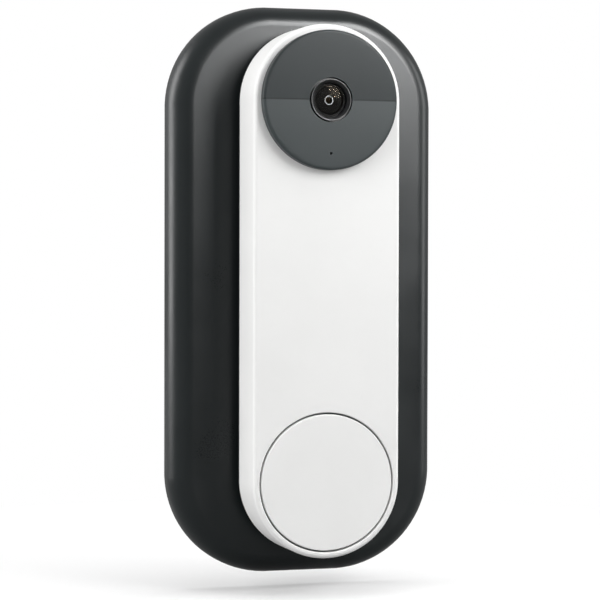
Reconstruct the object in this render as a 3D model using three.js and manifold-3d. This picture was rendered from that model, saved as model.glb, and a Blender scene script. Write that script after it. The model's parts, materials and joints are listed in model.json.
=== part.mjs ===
// A battery video doorbell on an oversize wall plate.
// Millimetres, +Z up. The wall is the plane y = 0 and the doorbell faces -Y.
// Depths are distances out from the wall, so a face at depth d lies at y = -d.
import * as THREE from 'three';
import { mergeVertices } from 'three/addons/utils/BufferGeometryUtils.js';
import Module from 'manifold-3d';

const wasm = await Module();
wasm.setup();

// ---- Driving dimensions: wall plate ----
const PLATE_WIDTH = 84.4;
const PLATE_HEIGHT = 174.6;
const PLATE_CORNER = 31.4;
const PLATE_DEPTH = 12.4;
const PLATE_EDGE_IN = 5.0;       // how far the rounded front edge runs in from the outline
const PLATE_EDGE_DEPTH = 9.2;    // how far it runs back from the front face
const PLATE_SKIN = 2.4;          // front wall over the ribs
const PLATE_WALL = 4.2;          // rim left round the ribbed back
const RIB_PITCH = 15.4;
const RIB_WIDTH = 1.5;
const WALL_PAD = 17;             // square pad in the middle of the back
const WALL_HOLE_X = 9.5;
const WALL_HOLE_FROM_END = 3;    // wall screw holes sit this far in from the end arcs' centres
const WALL_HOLE_RADIUS = 2.3;
const WALL_HEAD_RADIUS = 4.4;
const WALL_HEAD_DEPTH = 2.8;
const CABLE_WIDTH = 16;
const CABLE_HEIGHT = 22;
const CABLE_TO_SCREW = 21.15;    // cable way's middle up from the lower bracket screw
const BOSS_WALL = 2.2;
const SCREW_BOSS_RADIUS = 4.3;   // round the bracket screws' bores
const BORE_FLOOR = 2;            // left under the bracket screws' bores

// ---- Driving dimensions: doorbell housing ----
const BODY_WIDTH = 45.7;
const BODY_HEIGHT = 160;
const BODY_DEPTH = 20.3;
const BODY_GAP = 0.5;            // doorbell back to wall plate front
const SHELL_WALL = 1.5;
const SHELL_FRONT = 1.5;
const FRONT_FILLET = 1.2;
const COVER_DEPTH = 4.1;         // rear cover seen from the side
const COVER_EDGE_IN = 4.0;
const COVER_EDGE_DEPTH = 3.9;
const COVER_FLOOR = 1.4;
const LIP_WALL = 1.2;
const LIP_HEIGHT = 1.8;
const SEAL_SIDE = 1.0;
const HOUSING_HEAD = { radius: 1.9, height: 1.3, seat: 1.5, room: 1.6 };
const SHELL_THREAD = 4;          // housing screws stop this far short of the shell's front wall
const SPEAKER_SLOT = { width: 1.2, height: 6, pitch: 2.4, inset: 0.7 };

// ---- Driving dimensions: bracket ----
const BRACKET_INSET = 4.85;      // bracket edge in from the flat of the doorbell's back
const BRACKET_THICKNESS = 2.9;
const HOOK_X = 6;
const HOOK_WIDTH = 5;
const HOOK_REACH = 1.75;
const HOOK_THICKNESS = 0.9;
const UNDERCUT_LIP = 0.9;        // cover wall left behind the hooks
const CATCH_WIDTH = 8;
const CATCH_THICKNESS = 0.5;
const CATCH_REACH = 1.5;
const CATCH_LENGTH = 15;
const CATCH_SLOT = 6;            // undercut in the cover for the catch's nose
const KEY_HOLE_RADIUS = 0.9;
const KEY_REACH = 12;
const BRACKET_SCREW_FROM_END = 10;
const BRACKET_HEAD = { radius: 3, height: 1.6, room: 1.9 };
const BRACKET_SCREW_TIP = 3;     // out from the wall
const BRACKET_WINDOW = { wider: 4, taller: 6 };    // round the cable way
const CATCH_RECESS = 1.2;        // catch's back in from the bracket's front
const CATCH_HEAD = { radius: 1.8, height: 0.6 };
const CATCH_SCREW_DROP = 3;
const CATCH_NOSE = { start: 2.5, kink: 1.2, out: 0.3, in: 0.1 };

// ---- Driving dimensions: camera ----
const DISC_MARGIN = 2.0;         // housing left round the camera disc
const DISC_PROUD = 3.3;
const DISC_EDGE = 0.8;
const DISC_SKIN = 1.2;
const SKIRT_INSET = 1.65;
const SKIRT_DEPTH = 2.4;
const SKIRT_RIM = 1;             // wall of the disc's skirt
const BEZEL_WIDTH = 1.3;
const BEZEL_GAP = 0.35;
const BEZEL_LIP = 0.25;
const BEZEL_FUNNEL = 0.9;
const BEZEL_FLANGE = 1.3;
const WINDOW_RADIUS = 5.0;
const WINDOW_EDGE = 0.8;
const WINDOW_DOME = 1.2;
const BARREL_RADIUS = 4.1;
const BARREL_WALL = 0.8;
const APERTURE_RADIUS = 1.35;
const MIC_DROP = 15.9;
const MIC_HOLE_RADIUS = 0.45;
const SENSOR_ROOM = 3.4;
const INFRARED_X = 12.2;
const BEZEL_DEPTH = 2.5;         // bezel behind the disc's wall
const SEAL_THICKNESS = 0.5;
const CAMERA_STANDOFF = 1.0;
const CAMERA_BOARD = { width: 28, height: 20 };
const LENS_HOLDER = { side: 12, room: 9, depth: 6.5, roof: 1.7 };
const BARREL_FRONT_WALL = 0.8;
const BARREL_TO_ROOF = 0.4;
const FRONT_LENS = { behind: 0.9, thickness: 1.4 };
const REAR_LENS = { behind: 4, thickness: 1.8 };
const LENS_SAG = 0.45;
const LED_BOARD = 0.8;
const GASKET = { inner: 0.6, outer: 1.1 };

// ---- Bought-in parts that are soldered to a board ----
const IMAGE_SENSOR = { width: 6.4, height: 5.2, depth: 1.0 };
const INFRARED_LED = { width: 2.8, height: 2.8, depth: 0.9 };
const INFRARED_LENS = { radius: 1.1, sunk: 0.1, rise: 0.7 };
const MOTION_SENSOR = { width: 5, height: 4.6, depth: 2.1 };
const MOTION_EYE = { width: 3, height: 2.6, rise: 0.4 };
const MICROPHONE = { width: 3.2, height: 2.4, depth: 1.0 };
const MICROPHONE_PORT = { radius: 0.4, depth: 0.4 };
const RING_LED = { width: 1.6, height: 1.6, depth: 0.8, inset: 1.4 };
const CONNECTOR = { width: 5, height: 3, depth: 2.5 };

// ---- Driving dimensions: button ----
const BUTTON_MARGIN = 1.85;      // housing left round the button opening
const BUTTON_GAP = 0.55;
const BUTTON_TRAVEL = 0.5;
const CAP_THICKNESS = 1.8;
const CAP_CHAMFER = 0.3;
const POST_RADIUS = 1.9;
const POST_LENGTH = 2.5;
const PLUNGER_RADIUS = 1.5;
const PLUNGER_LENGTH = 3.0;
const SWITCH_SIDE = 6.2;
const SWITCH_BELOW = 0.4;        // under the plunger when it is pressed
const SWITCH_ROOF = 1.4;         // plunger standing out of the switch
const SWITCH_FLOOR = 0.3;
const BUTTON_BOARD_INSET = 3.5;
const SKIRT = { top: 9, shoulder: 10.4, knee: 13, foot: 14.4, footIn: 11.8 };    // button seal radii
const SKIRT_WALL = 0.9;
const SKIRT_FOOT = { knee: 1.2, edge: 0.8 };
const LIGHT_RING_WIDTH = 1.1;
const LIGHT_RING_HEIGHT = 2.3;
const LIGHT_RING_ROOM = 0.25;    // to the housing's side wall

// ---- Driving dimensions: inside ----
const BOARD = 1.0;
const BOARD_STANDOFF = 1.7;
const SHIELD_HEIGHT = 1.2;
const SHIELD_WALL = 0.3;
const PROCESSOR_CAN = { width: 22, height: 20 };
const RADIO_CAN = { width: 16, height: 14 };
const FLEX_ROOM = 8;             // board end kept free for the ribbon that lands on it
const CAN_GAP = 4;
const SIDE_ROOM = 3.2;           // beside the battery frame
const END_ROOM = 3.15;           // battery end to the button opening
const FRAME_WALL = 1.2;
const FRAME_FLOOR = 0.8;
const FOAM = 0.8;
const SCREW_INSET = 4.15;
const SCREW_BOSS = 2.6;
const SCREW_SHANK = 1.1;
const FRAME_RISE = 4;
const FRAME_CORNER = { outer: 2, inner: 1.5 };
const BATTERY_CORNER = 2.4;
const BATTERY_EDGE = 1.2;
const FOAM_MARGIN = { side: 3, end: 6 };
const BOARD_SIDE_ROOM = 2.85;
const BOARD_CORNER = 2;
const BOARD_END_ROOM = 7;        // board end to the button's middle
const BOARD_ABOVE_USB = 4.2;
const ANTENNA = { thickness: 0.4, length: 36, depth: 5, fromWall: 0.9 };
const LEAD_RISE = 5.6;           // battery lead in from the battery's back
const LEAD = { width: 2.8, thickness: 1.2 };
const FLEX = { width: 8, thickness: 0.3 };
const USB_WIDTH = 9;
const USB_HEIGHT = 3.3;
const USB_DEPTH = 6.5;
const USB_FROM_FRAME = 3.5;
const USB_WALL = 0.35;
const USB_BACK_WALL = 0.6;
const USB_TONGUE = { width: 6.6, thickness: 0.7, back: 0.8, front: 0.3 };
const RESET_X = 9;
const RESET_RADIUS = 1.5;
const RESET_FLANGE = { wider: 0.8, depth: 0.5 };
const RESET_SWITCH = { side: 3.6, depth: 0.6 };
const TERMINAL_X = 5.5;
const TERMINAL_RADIUS = 2.6;
const TERMINAL_BORE = 1.4;
const TERMINAL_HEAD = { radius: 3, height: 1.5 };
const TERMINAL_SHANK = 1.2;
const SPEAKER_WIDTH = 24;
const SPEAKER_HEIGHT = 13.5;
const SPEAKER_DEPTH = 4.8;
const SPEAKER_BELOW_BOARD = 1.8;
const DUCT = { width: 13, wall: 0.7, skin: 0.6, fromShell: 1.3 };

// ---- Clearances ----
const SEAT = 0.2;                // between pieces that bear on each other
const FIT = 0.3;                 // round a piece in its own opening
const SWING = 0.6;               // round the bracket, for the tilt on its hooks
const NEAR = 0.1;                // between parts soldered or glued together

// ---- Places that follow from the sizes above ----
const halfWidth = BODY_WIDTH / 2;
const endZ = BODY_HEIGHT / 2 - halfWidth;
const innerHalf = halfWidth - SHELL_WALL;
const bodyBack = PLATE_DEPTH + BODY_GAP;
const bodyFront = bodyBack + BODY_DEPTH;
const shellBack = bodyBack + COVER_DEPTH;
const shellInside = bodyFront - SHELL_FRONT;

const bracketHalf = halfWidth - COVER_EDGE_IN - BRACKET_INSET;
const bracketBack = PLATE_DEPTH + SEAT;
const bracketFront = bracketBack + BRACKET_THICKNESS;
const bracketEnd = endZ + bracketHalf;
const bracketScrewZ = endZ - BRACKET_SCREW_FROM_END;
const pocketFloor = bracketFront + SWING;
const coverInside = pocketFloor + COVER_FLOOR;
const undercut = bodyBack + UNDERCUT_LIP;
const cableDrop = bracketScrewZ - CABLE_TO_SCREW;
const catchBack = bracketFront - CATCH_RECESS;
const catchFront = catchBack + CATCH_THICKNESS;
const catchTop = -bracketEnd + CATCH_LENGTH - CATCH_REACH;
const catchScrewZ = catchTop - CATCH_SCREW_DROP;
const wallHoleZ = endZ - WALL_HOLE_FROM_END;

const discRadius = halfWidth - DISC_MARGIN;
const discFront = bodyFront + DISC_PROUD;
const discInside = discFront - DISC_SKIN;
const skirtRadius = discRadius - SKIRT_INSET;
const skirtBack = bodyFront - SKIRT_DEPTH;
const bezelFront = discFront - NEAR;
const bezelBack = discInside - BEZEL_DEPTH;
const bezelRadius = WINDOW_RADIUS + BEZEL_WIDTH;
const flangeRadius = bezelRadius + BEZEL_FLANGE;
const motionSensorZ = endZ - flangeRadius - SENSOR_ROOM;
const windowRim = bezelFront - BEZEL_FUNNEL - NEAR;
const windowBack = windowRim - WINDOW_EDGE;
const sealBack = windowBack - SEAL_THICKNESS;
const barrelFront = sealBack - NEAR;
const cameraBoardBack = coverInside + CAMERA_STANDOFF;
const cameraBoardFront = cameraBoardBack + BOARD;
const holderFront = cameraBoardFront + LENS_HOLDER.depth;
const sensorRoof = cameraBoardFront + LENS_HOLDER.roof;
const ledBoardBack = skirtBack + SEAT;
const ledBoardFront = ledBoardBack + LED_BOARD;

const buttonHole = halfWidth - BUTTON_MARGIN;
const buttonRadius = buttonHole - BUTTON_GAP;
const capBack = bodyFront - CAP_THICKNESS;
const postBack = capBack - POST_LENGTH;
const plungerFront = postBack - NEAR;
const plungerBack = plungerFront - PLUNGER_LENGTH;
const switchBack = plungerBack - BUTTON_TRAVEL - SWITCH_BELOW;
const switchFront = plungerFront - SWITCH_ROOF;
const buttonBoardFront = switchBack - NEAR;
const buttonBoardBack = buttonBoardFront - BOARD;
const buttonBoardRadius = buttonHole - BUTTON_BOARD_INSET;
const lightRingFront = capBack - BUTTON_TRAVEL - SEAT;
const lightRingRadius = innerHalf - LIGHT_RING_ROOM;

const boardBack = coverInside + BOARD_STANDOFF;
const boardFront = boardBack + BOARD;
const boardHalf = innerHalf - BOARD_SIDE_ROOM;
const shieldFront = boardFront + NEAR + SHIELD_HEIGHT;
const frameBack = shieldFront + FIT;
const frameFloor = frameBack + FRAME_FLOOR;
const frameHalf = innerHalf - SIDE_ROOM;
const batteryHalf = frameHalf - FRAME_WALL - FIT;
const batteryEnd = endZ - buttonHole - END_ROOM;
const frameEnd = batteryEnd + FIT + FRAME_WALL;
const batteryBack = frameFloor + SEAT;
const foamFront = shellInside - SEAT;
const batteryFront = foamFront - FOAM - NEAR;
const screwX = innerHalf - SCREW_INSET;
const screwZ = frameEnd + SCREW_BOSS + FIT;
const usbZ = frameEnd + USB_FROM_FRAME;
const boardTop = usbZ + BOARD_ABOVE_USB;
const boardBottom = -endZ + BOARD_END_ROOM;
const radioZ = boardBottom + FLEX_ROOM + RADIO_CAN.height / 2;
const processorZ = radioZ + (RADIO_CAN.height + PROCESSOR_CAN.height) / 2 + CAN_GAP;
const speakerTop = boardBottom - SPEAKER_BELOW_BOARD;
const speakerBottom = speakerTop - SPEAKER_HEIGHT;
const speakerBack = coverInside + FIT;
const ductBack = coverInside + LIP_HEIGHT + FIT;
const ductFront = speakerBack + SPEAKER_DEPTH;
const ductEnd = -(endZ + innerHalf - DUCT.fromShell);

// ---- Shapes and solids ----
const SMALL_RADIUS = 5;
const CORNER_STEPS = { small: 3, large: 7 };
const EDGE_STEPS = 3;
const ROUND_STEPS = 28;
const RIM_STEPS = 40;
const HOLE_STEPS = 12;
const SCREW_STEPS = 12;
const BEYOND = 1;                // how far a cutting tool runs past what it cuts
const ARC_MIDDLE = 0.29;         // how far in from a corner the middle of its arc lies
const SCREW_SHAPE = { crown: 0.75, shoulder: 0.5, recess: 0.55, slot: 0.5, point: 0.8 };

// Extruded outlines carry the number of steps that their corner radius needs.
function cornerSteps(radius) {
  return radius < SMALL_RADIUS ? CORNER_STEPS.small : CORNER_STEPS.large;
}

function roundedRect(width, height, radius, z = 0) {
  const x = width / 2 - radius;
  const up = height / 2 - radius;
  const shape = new THREE.Shape();
  shape.absarc(x, z + up, radius, 0, Math.PI / 2);
  shape.absarc(-x, z + up, radius, Math.PI / 2, Math.PI);
  shape.absarc(-x, z - up, radius, Math.PI, Math.PI * 1.5);
  shape.absarc(x, z - up, radius, Math.PI * 1.5, Math.PI * 2);
  shape.userData = { steps: cornerSteps(radius) };
  return shape;
}

// The housing's own outline, moved in by inset: straight sides with round ends.
function stadium(inset) {
  return roundedRect(BODY_WIDTH - 2 * inset, BODY_HEIGHT - 2 * inset, halfWidth - inset);
}

function solidFrom(geometry) {
  geometry.deleteAttribute('normal');
  geometry.deleteAttribute('uv');
  const merged = mergeVertices(geometry, 1e-4);
  const mesh = new wasm.Mesh({
    numProp: 3,
    vertProperties: new Float32Array(merged.attributes.position.array),
    triVerts: new Uint32Array(merged.index.array),
  });
  return new wasm.Manifold(mesh);
}

// Extrudes an outline drawn in the x-z plane between two depths.
function slab(shape, back, front) {
  const options = { depth: front - back, bevelEnabled: false, curveSegments: shape.userData.steps };
  const geometry = new THREE.ExtrudeGeometry(shape, options);
  geometry.translate(0, 0, back);
  geometry.rotateX(Math.PI / 2);
  return solidFrom(geometry);
}

// The same, with one edge rounded: edgeIn across the face, edgeDepth along the side.
function roundedSlab(shape, back, front, edgeIn, edgeDepth, end) {
  const options = {
    depth: front - back - edgeDepth,
    bevelThickness: edgeDepth,
    bevelSize: edgeIn,
    bevelOffset: -edgeIn,
    bevelSegments: EDGE_STEPS,
    curveSegments: shape.userData.steps,
  };
  const geometry = new THREE.ExtrudeGeometry(shape, options);
  geometry.translate(0, 0, end === 'front' ? back : back + edgeDepth);
  geometry.rotateX(Math.PI / 2);
  return solidFrom(geometry).intersect(slab(shape, back, front));
}

function box(width, height, back, front, x = 0, z = 0) {
  const geometry = new THREE.BoxGeometry(width, front - back, height);
  geometry.translate(x, -(back + front) / 2, z);
  return solidFrom(geometry);
}

// A round piece about an axis square to the wall. The profile is [radius, depth] pairs from
// front to back, either from axis to axis or, for a ring, back to its first point.
function turned(profile, x = 0, z = 0, steps = ROUND_STEPS) {
  const points = profile.map(([radius, depth]) => new THREE.Vector2(radius, -depth));
  const geometry = new THREE.LatheGeometry(points, steps);
  geometry.translate(x, 0, z);
  return solidFrom(geometry);
}

function disc(radius, back, front, x = 0, z = 0, steps = ROUND_STEPS) {
  return turned([[0, front], [radius, front], [radius, back], [0, back]], x, z, steps);
}

// A round hole or peg too small to need many steps.
function peg(radius, back, front, x, z) {
  return disc(radius, back, front, x, z, HOLE_STEPS);
}

// A bought-in block soldered to a board's front face.
function chip({ width, height, depth }, boardFace, x, z) {
  return box(width, height, boardFace + NEAR, boardFace + NEAR + depth, x, z);
}

function ring(inner, outer, back, front, x = 0, z = 0, steps = ROUND_STEPS) {
  const profile = [[inner, front], [outer, front], [outer, back], [inner, back], [inner, front]];
  return turned(profile, x, z, steps);
}

// A side profile of [depth, z] points, given width along x.
function strip(points, width, x = 0) {
  const shape = new THREE.Shape(points.map(([depth, z]) => new THREE.Vector2(depth, z)));
  const geometry = new THREE.ExtrudeGeometry(shape, { depth: width, bevelEnabled: false });
  geometry.translate(0, 0, -width / 2);
  geometry.rotateX(Math.PI / 2);
  geometry.rotateZ(-Math.PI / 2);
  geometry.translate(x, 0, 0);
  return solidFrom(geometry);
}

// A bent flat ribbon of even thickness through [depth, z] points.
function ribbon(points, thickness, width, x = 0) {
  const half = thickness / 2;
  const normals = points.map((_, i) => {
    const a = points[Math.max(i - 1, 0)];
    const b = points[Math.min(i + 1, points.length - 1)];
    const length = Math.hypot(b[0] - a[0], b[1] - a[1]);
    return [-(b[1] - a[1]) / length, (b[0] - a[0]) / length];
  });
  const side = (sign) => points.map((p, i) => [
    p[0] + sign * half * normals[i][0],
    p[1] + sign * half * normals[i][1],
  ]);
  return strip([...side(-1), ...side(1).reverse()], width, x);
}

function mirrored(makeOne) {
  return [makeOne(-1), makeOne(1)];
}

function corners(x, z) {
  return [[-x, -z], [x, -z], [x, z], [-x, z]];
}

function join(solids) {
  return solids.reduce((whole, next) => whole.add(next));
}

function cut(solid, tools) {
  return tools.reduce((whole, tool) => whole.subtract(tool), solid);
}

// A pan-head screw with a cross recess, from its head's top to its tip. Facing is 1 when it is
// driven outwards from the wall side, and -1 when it is driven towards the wall.
function screw({ radius, height }, shank, seat, tip, x, z, facing) {
  const top = seat - facing * height;
  const recess = top + facing * height * SCREW_SHAPE.recess;
  const profile = [
    [0, top], [radius * SCREW_SHAPE.crown, top],
    [radius, top + facing * height * SCREW_SHAPE.shoulder], [radius, seat], [shank, seat],
    [shank, tip - facing * shank * SCREW_SHAPE.point], [0, tip],
  ];
  const frontFirst = facing > 0 ? profile.reverse() : profile;
  const [back, front] = facing > 0 ? [top - BEYOND, recess] : [recess, top + BEYOND];
  const arms = [
    box(radius, SCREW_SHAPE.slot, back, front, x, z),
    box(SCREW_SHAPE.slot, radius, back, front, x, z),
  ];
  return cut(turned(frontFirst, x, z, SCREW_STEPS), arms);
}

// ---- Wall side ----
function wallPlate() {
  const outline = roundedRect(PLATE_WIDTH, PLATE_HEIGHT, PLATE_CORNER);
  const body = roundedSlab(outline, 0, PLATE_DEPTH, PLATE_EDGE_IN, PLATE_EDGE_DEPTH, 'front');
  const holes = corners(WALL_HOLE_X, wallHoleZ);
  const keep = join([
    box(WALL_PAD, WALL_PAD, -BEYOND, PLATE_DEPTH),
    box(CABLE_WIDTH + 2 * BOSS_WALL, CABLE_HEIGHT + 2 * BOSS_WALL, -BEYOND, PLATE_DEPTH, 0, -cableDrop),
    ...holes.map(([x, z]) => peg(WALL_HEAD_RADIUS + BOSS_WALL, -BEYOND, PLATE_DEPTH, x, z)),
    ...mirrored((s) => peg(SCREW_BOSS_RADIUS, -BEYOND, PLATE_DEPTH, 0, s * bracketScrewZ)),
  ]);
  const openings = [
    box(CABLE_WIDTH, CABLE_HEIGHT, -BEYOND, PLATE_DEPTH + BEYOND, 0, -cableDrop),
    ...holes.map(([x, z]) => peg(WALL_HOLE_RADIUS, -BEYOND, PLATE_DEPTH + BEYOND, x, z)),
    ...holes.map(([x, z]) => peg(WALL_HEAD_RADIUS, PLATE_DEPTH - WALL_HEAD_DEPTH,
      PLATE_DEPTH + BEYOND, x, z)),
    ...mirrored((s) => peg(SCREW_SHANK + SEAT, BORE_FLOOR, PLATE_DEPTH + BEYOND, 0, s * bracketScrewZ)),
  ];
  return cut(body.subtract(ribCells().subtract(keep)), openings);
}

// The square cells between the ribs, kept inside the plate's rim.
function ribCells() {
  const columns = Math.ceil(PLATE_WIDTH / RIB_PITCH / 2);
  const rows = Math.ceil(PLATE_HEIGHT / RIB_PITCH / 2);
  const size = RIB_PITCH - RIB_WIDTH;
  const cells = [];
  for (let column = -columns; column < columns; column += 1) {
    for (let row = -rows; row < rows; row += 1) {
      const x = (column + 0.5) * RIB_PITCH;
      const z = (row + 0.5) * RIB_PITCH;
      cells.push(box(size, size, -BEYOND, PLATE_DEPTH - PLATE_SKIN, x, z));
    }
  }
  const inside = roundedRect(PLATE_WIDTH - 2 * PLATE_WALL, PLATE_HEIGHT - 2 * PLATE_WALL,
    PLATE_CORNER - PLATE_WALL);
  return join(cells).intersect(slab(inside, -BEYOND, PLATE_DEPTH - PLATE_SKIN));
}

function mountingBracket() {
  const [behind, beyond] = [bracketBack - BEYOND, bracketFront + BEYOND];
  const hookLength = bracketHalf / 2;
  const hooks = mirrored((s) => box(HOOK_WIDTH, hookLength, bracketFront - HOOK_THICKNESS,
    bracketFront, s * HOOK_X, bracketEnd + HOOK_REACH - hookLength / 2));
  const catchRoom = CATCH_LENGTH + 2 * BEYOND;
  const { wider, taller } = BRACKET_WINDOW;
  const windows = [
    box(CABLE_WIDTH + wider, CABLE_HEIGHT + taller, behind, beyond, 0, -cableDrop),
    box(CABLE_WIDTH + wider / 2, CABLE_HEIGHT, behind, beyond, 0, cableDrop),
    box(CATCH_WIDTH + 2 * SWING, catchRoom, catchBack - NEAR, beyond,
      0, catchTop + BEYOND - catchRoom / 2),
    peg(SCREW_SHANK + SEAT, behind, beyond, 0, catchScrewZ),
    ...mirrored((s) => peg(SCREW_SHANK + SEAT, behind, beyond, 0, s * bracketScrewZ)),
    ...mirrored((s) => peg(BRACKET_HEAD.radius + FIT, bracketFront - BRACKET_HEAD.room, beyond,
      0, s * bracketScrewZ)),
  ];
  return cut(join([slab(stadium(halfWidth - bracketHalf), bracketBack, bracketFront), ...hooks]), windows);
}

function bracketScrew(side) {
  const seat = bracketFront - BRACKET_HEAD.room + NEAR;
  return screw(BRACKET_HEAD, SCREW_SHANK, seat, BRACKET_SCREW_TIP, 0, side * bracketScrewZ, -1);
}

// A sprung steel tongue: its nose stands under the cover's lip until a key pushes it up.
function releaseCatch() {
  const middle = (catchBack + catchFront) / 2;
  const nose = -bracketEnd - CATCH_REACH;
  const spine = [
    [middle, catchTop], [middle, nose + CATCH_NOSE.start],
    [middle + CATCH_NOSE.out, nose + CATCH_NOSE.kink], [middle - CATCH_NOSE.in, nose],
  ];
  const leaf = ribbon(spine, CATCH_THICKNESS, CATCH_WIDTH);
  return leaf.subtract(peg(SCREW_SHANK + SEAT, catchBack - BEYOND, catchFront + BEYOND, 0, catchScrewZ));
}

function catchScrew() {
  const shank = SCREW_SHANK - SEAT;
  return screw(CATCH_HEAD, shank, catchFront + NEAR, bracketBack + NEAR, 0, catchScrewZ, -1);
}

// ---- Housing ----
function housingScrewPlaces() {
  return corners(screwX, screwZ);
}

function speakerSlots() {
  const { width, height, pitch, inset } = SPEAKER_SLOT;
  return [-2, -1, 0, 1, 2].map((i) => box(width, height, ductBack + inset, ductFront - inset,
    i * pitch, -BODY_HEIGHT / 2 + 2 * BEYOND));
}

function frontShell() {
  const outer = roundedSlab(stadium(0), shellBack, bodyFront, FRONT_FILLET, FRONT_FILLET, 'front');
  const cavity = slab(stadium(SHELL_WALL), shellBack - BEYOND, shellInside);
  const bosses = housingScrewPlaces().map(([x, z]) => peg(SCREW_BOSS, coverInside + SEAT,
    shellInside + SHELL_FRONT / 3, x, z));
  const bores = housingScrewPlaces().map(([x, z]) => peg(SCREW_SHANK + NEAR, coverInside - BEYOND,
    shellInside - SHELL_THREAD + BEYOND, x, z));
  const openings = [
    disc(skirtRadius + FIT, shellInside - BEYOND, bodyFront + BEYOND, 0, endZ),
    disc(buttonHole, shellInside - BEYOND, bodyFront + BEYOND, 0, -endZ),
    ...speakerSlots(),
    ...bores,
  ];
  return cut(join([outer.subtract(cavity), ...bosses]), openings);
}

function hookSlots() {
  const height = bracketHalf / 2;
  const top = bracketEnd + HOOK_REACH + SWING;
  return mirrored((s) => box(HOOK_WIDTH + BEYOND, height, undercut, pocketFloor,
    s * HOOK_X, top - height / 2));
}

function rearCover() {
  const rim = SHELL_WALL + SEAL_SIDE;
  const body = roundedSlab(stadium(0), bodyBack, shellBack - SEAT, COVER_EDGE_IN,
    COVER_EDGE_DEPTH - SEAT, 'back');
  const plug = slab(stadium(SHELL_WALL + FIT), shellBack - BEYOND, coverInside);
  const lip = slab(stadium(rim), coverInside - BEYOND / 2, coverInside + LIP_HEIGHT)
    .subtract(slab(stadium(rim + LIP_WALL), coverInside, coverInside + LIP_HEIGHT + BEYOND));
  const catchSlotBottom = -(bracketEnd + CATCH_REACH + SWING);
  const tools = [
    slab(stadium(halfWidth - bracketHalf - SWING), bodyBack - BEYOND, pocketFloor),
    ...hookSlots(),
    box(CATCH_WIDTH + 2 * SWING, CATCH_SLOT, undercut, pocketFloor, 0, catchSlotBottom + CATCH_SLOT / 2),
    keyWay(catchSlotBottom),
    ...housingScrewPlaces().map(([x, z]) => peg(SCREW_SHANK + SEAT, bodyBack - BEYOND,
      coverInside + BEYOND, x, z)),
    ...housingScrewPlaces().map(([x, z]) => peg(HOUSING_HEAD.radius + SEAT, bodyBack - BEYOND,
      bodyBack + HOUSING_HEAD.room, x, z)),
    slab(roundedRect(USB_WIDTH + 2 * FIT, USB_HEIGHT + 2 * FIT, USB_HEIGHT / 2, usbZ),
      pocketFloor - BEYOND, coverInside + BEYOND),
    peg(RESET_RADIUS + SEAT, pocketFloor - BEYOND, coverInside + BEYOND, RESET_X, usbZ),
    ...mirrored((s) => peg(TERMINAL_RADIUS + FIT, pocketFloor - BEYOND, coverInside + BEYOND,
      s * TERMINAL_X, -cableDrop)),
    ...housingScrewPlaces().map(([x, z]) => peg(SCREW_BOSS + FIT, coverInside,
      coverInside + LIP_HEIGHT + BEYOND, x, z)),
  ];
  return cut(join([body, plug, lip]), tools);
}

// The hole in the lower edge that the release key goes up.
function keyWay(top) {
  const geometry = new THREE.CylinderGeometry(KEY_HOLE_RADIUS, KEY_HOLE_RADIUS, KEY_REACH, HOLE_STEPS);
  geometry.rotateX(Math.PI / 2);
  geometry.translate(0, -(catchBack + catchFront) / 2, top + BEYOND - KEY_REACH / 2);
  return solidFrom(geometry);
}

function housingSeal() {
  const outer = slab(stadium(SHELL_WALL + NEAR), coverInside + NEAR, coverInside + BEYOND);
  return outer.subtract(slab(stadium(SHELL_WALL + SEAL_SIDE - NEAR), coverInside - BEYOND, coverInside + 2));
}

function housingScrew([x, z]) {
  const seat = bodyBack + HOUSING_HEAD.seat;
  return screw(HOUSING_HEAD, SCREW_SHANK, seat, shellInside - SHELL_THREAD, x, z, 1);
}

// ---- Camera ----
function cameraDisc() {
  const open = bezelRadius + BEZEL_GAP;
  const seat = bodyFront + NEAR;
  const edge = DISC_EDGE;
  const profile = [
    [open, discFront], [discRadius - edge, discFront],
    [discRadius - edge * ARC_MIDDLE, discFront - edge * ARC_MIDDLE], [discRadius, discFront - edge],
    [discRadius, seat], [skirtRadius, seat], [skirtRadius, skirtBack],
    [skirtRadius - SKIRT_RIM, skirtBack], [skirtRadius - SKIRT_RIM, discInside], [open, discInside],
    [open, discFront],
  ];
  const mic = peg(MIC_HOLE_RADIUS, discInside - BEYOND, discFront + BEYOND, 0, endZ - MIC_DROP);
  return turned(profile, 0, endZ, RIM_STEPS).subtract(mic);
}

function lensBezel() {
  const seat = WINDOW_RADIUS + NEAR;
  const bore = BARREL_RADIUS + FIT;
  const flangeFront = discInside - NEAR;
  return turned([
    [seat, bezelFront - BEZEL_FUNNEL], [bezelRadius - BEZEL_LIP, bezelFront],
    [bezelRadius, bezelFront], [bezelRadius, flangeFront], [flangeRadius, flangeFront],
    [flangeRadius, bezelBack], [bore, bezelBack], [bore, sealBack - NEAR / 2],
    [seat, sealBack - NEAR / 2], [seat, bezelFront - BEZEL_FUNNEL],
  ], 0, endZ);
}

function lensWindow() {
  const dome = [0, 0.2, 0.4, 0.6, 0.8, 1].map((t) => [
    WINDOW_RADIUS * Math.sin(t * Math.PI / 2),
    windowRim + WINDOW_DOME * Math.cos(t * Math.PI / 2),
  ]);
  return turned([...dome, [WINDOW_RADIUS, windowBack], [0, windowBack]], 0, endZ);
}

function windowSeal() {
  return ring(BARREL_RADIUS + FIT, WINDOW_RADIUS, sealBack, windowBack - NEAR / 2, 0, endZ);
}

function lensBarrel() {
  const bore = BARREL_RADIUS - BARREL_WALL;
  const back = sensorRoof + BARREL_TO_ROOF;
  const inside = barrelFront - BARREL_FRONT_WALL;
  return turned([
    [APERTURE_RADIUS, barrelFront], [BARREL_RADIUS, barrelFront], [BARREL_RADIUS, back],
    [bore, back], [bore, inside], [APERTURE_RADIUS, inside],
    [APERTURE_RADIUS, barrelFront],
  ], 0, endZ);
}

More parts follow.
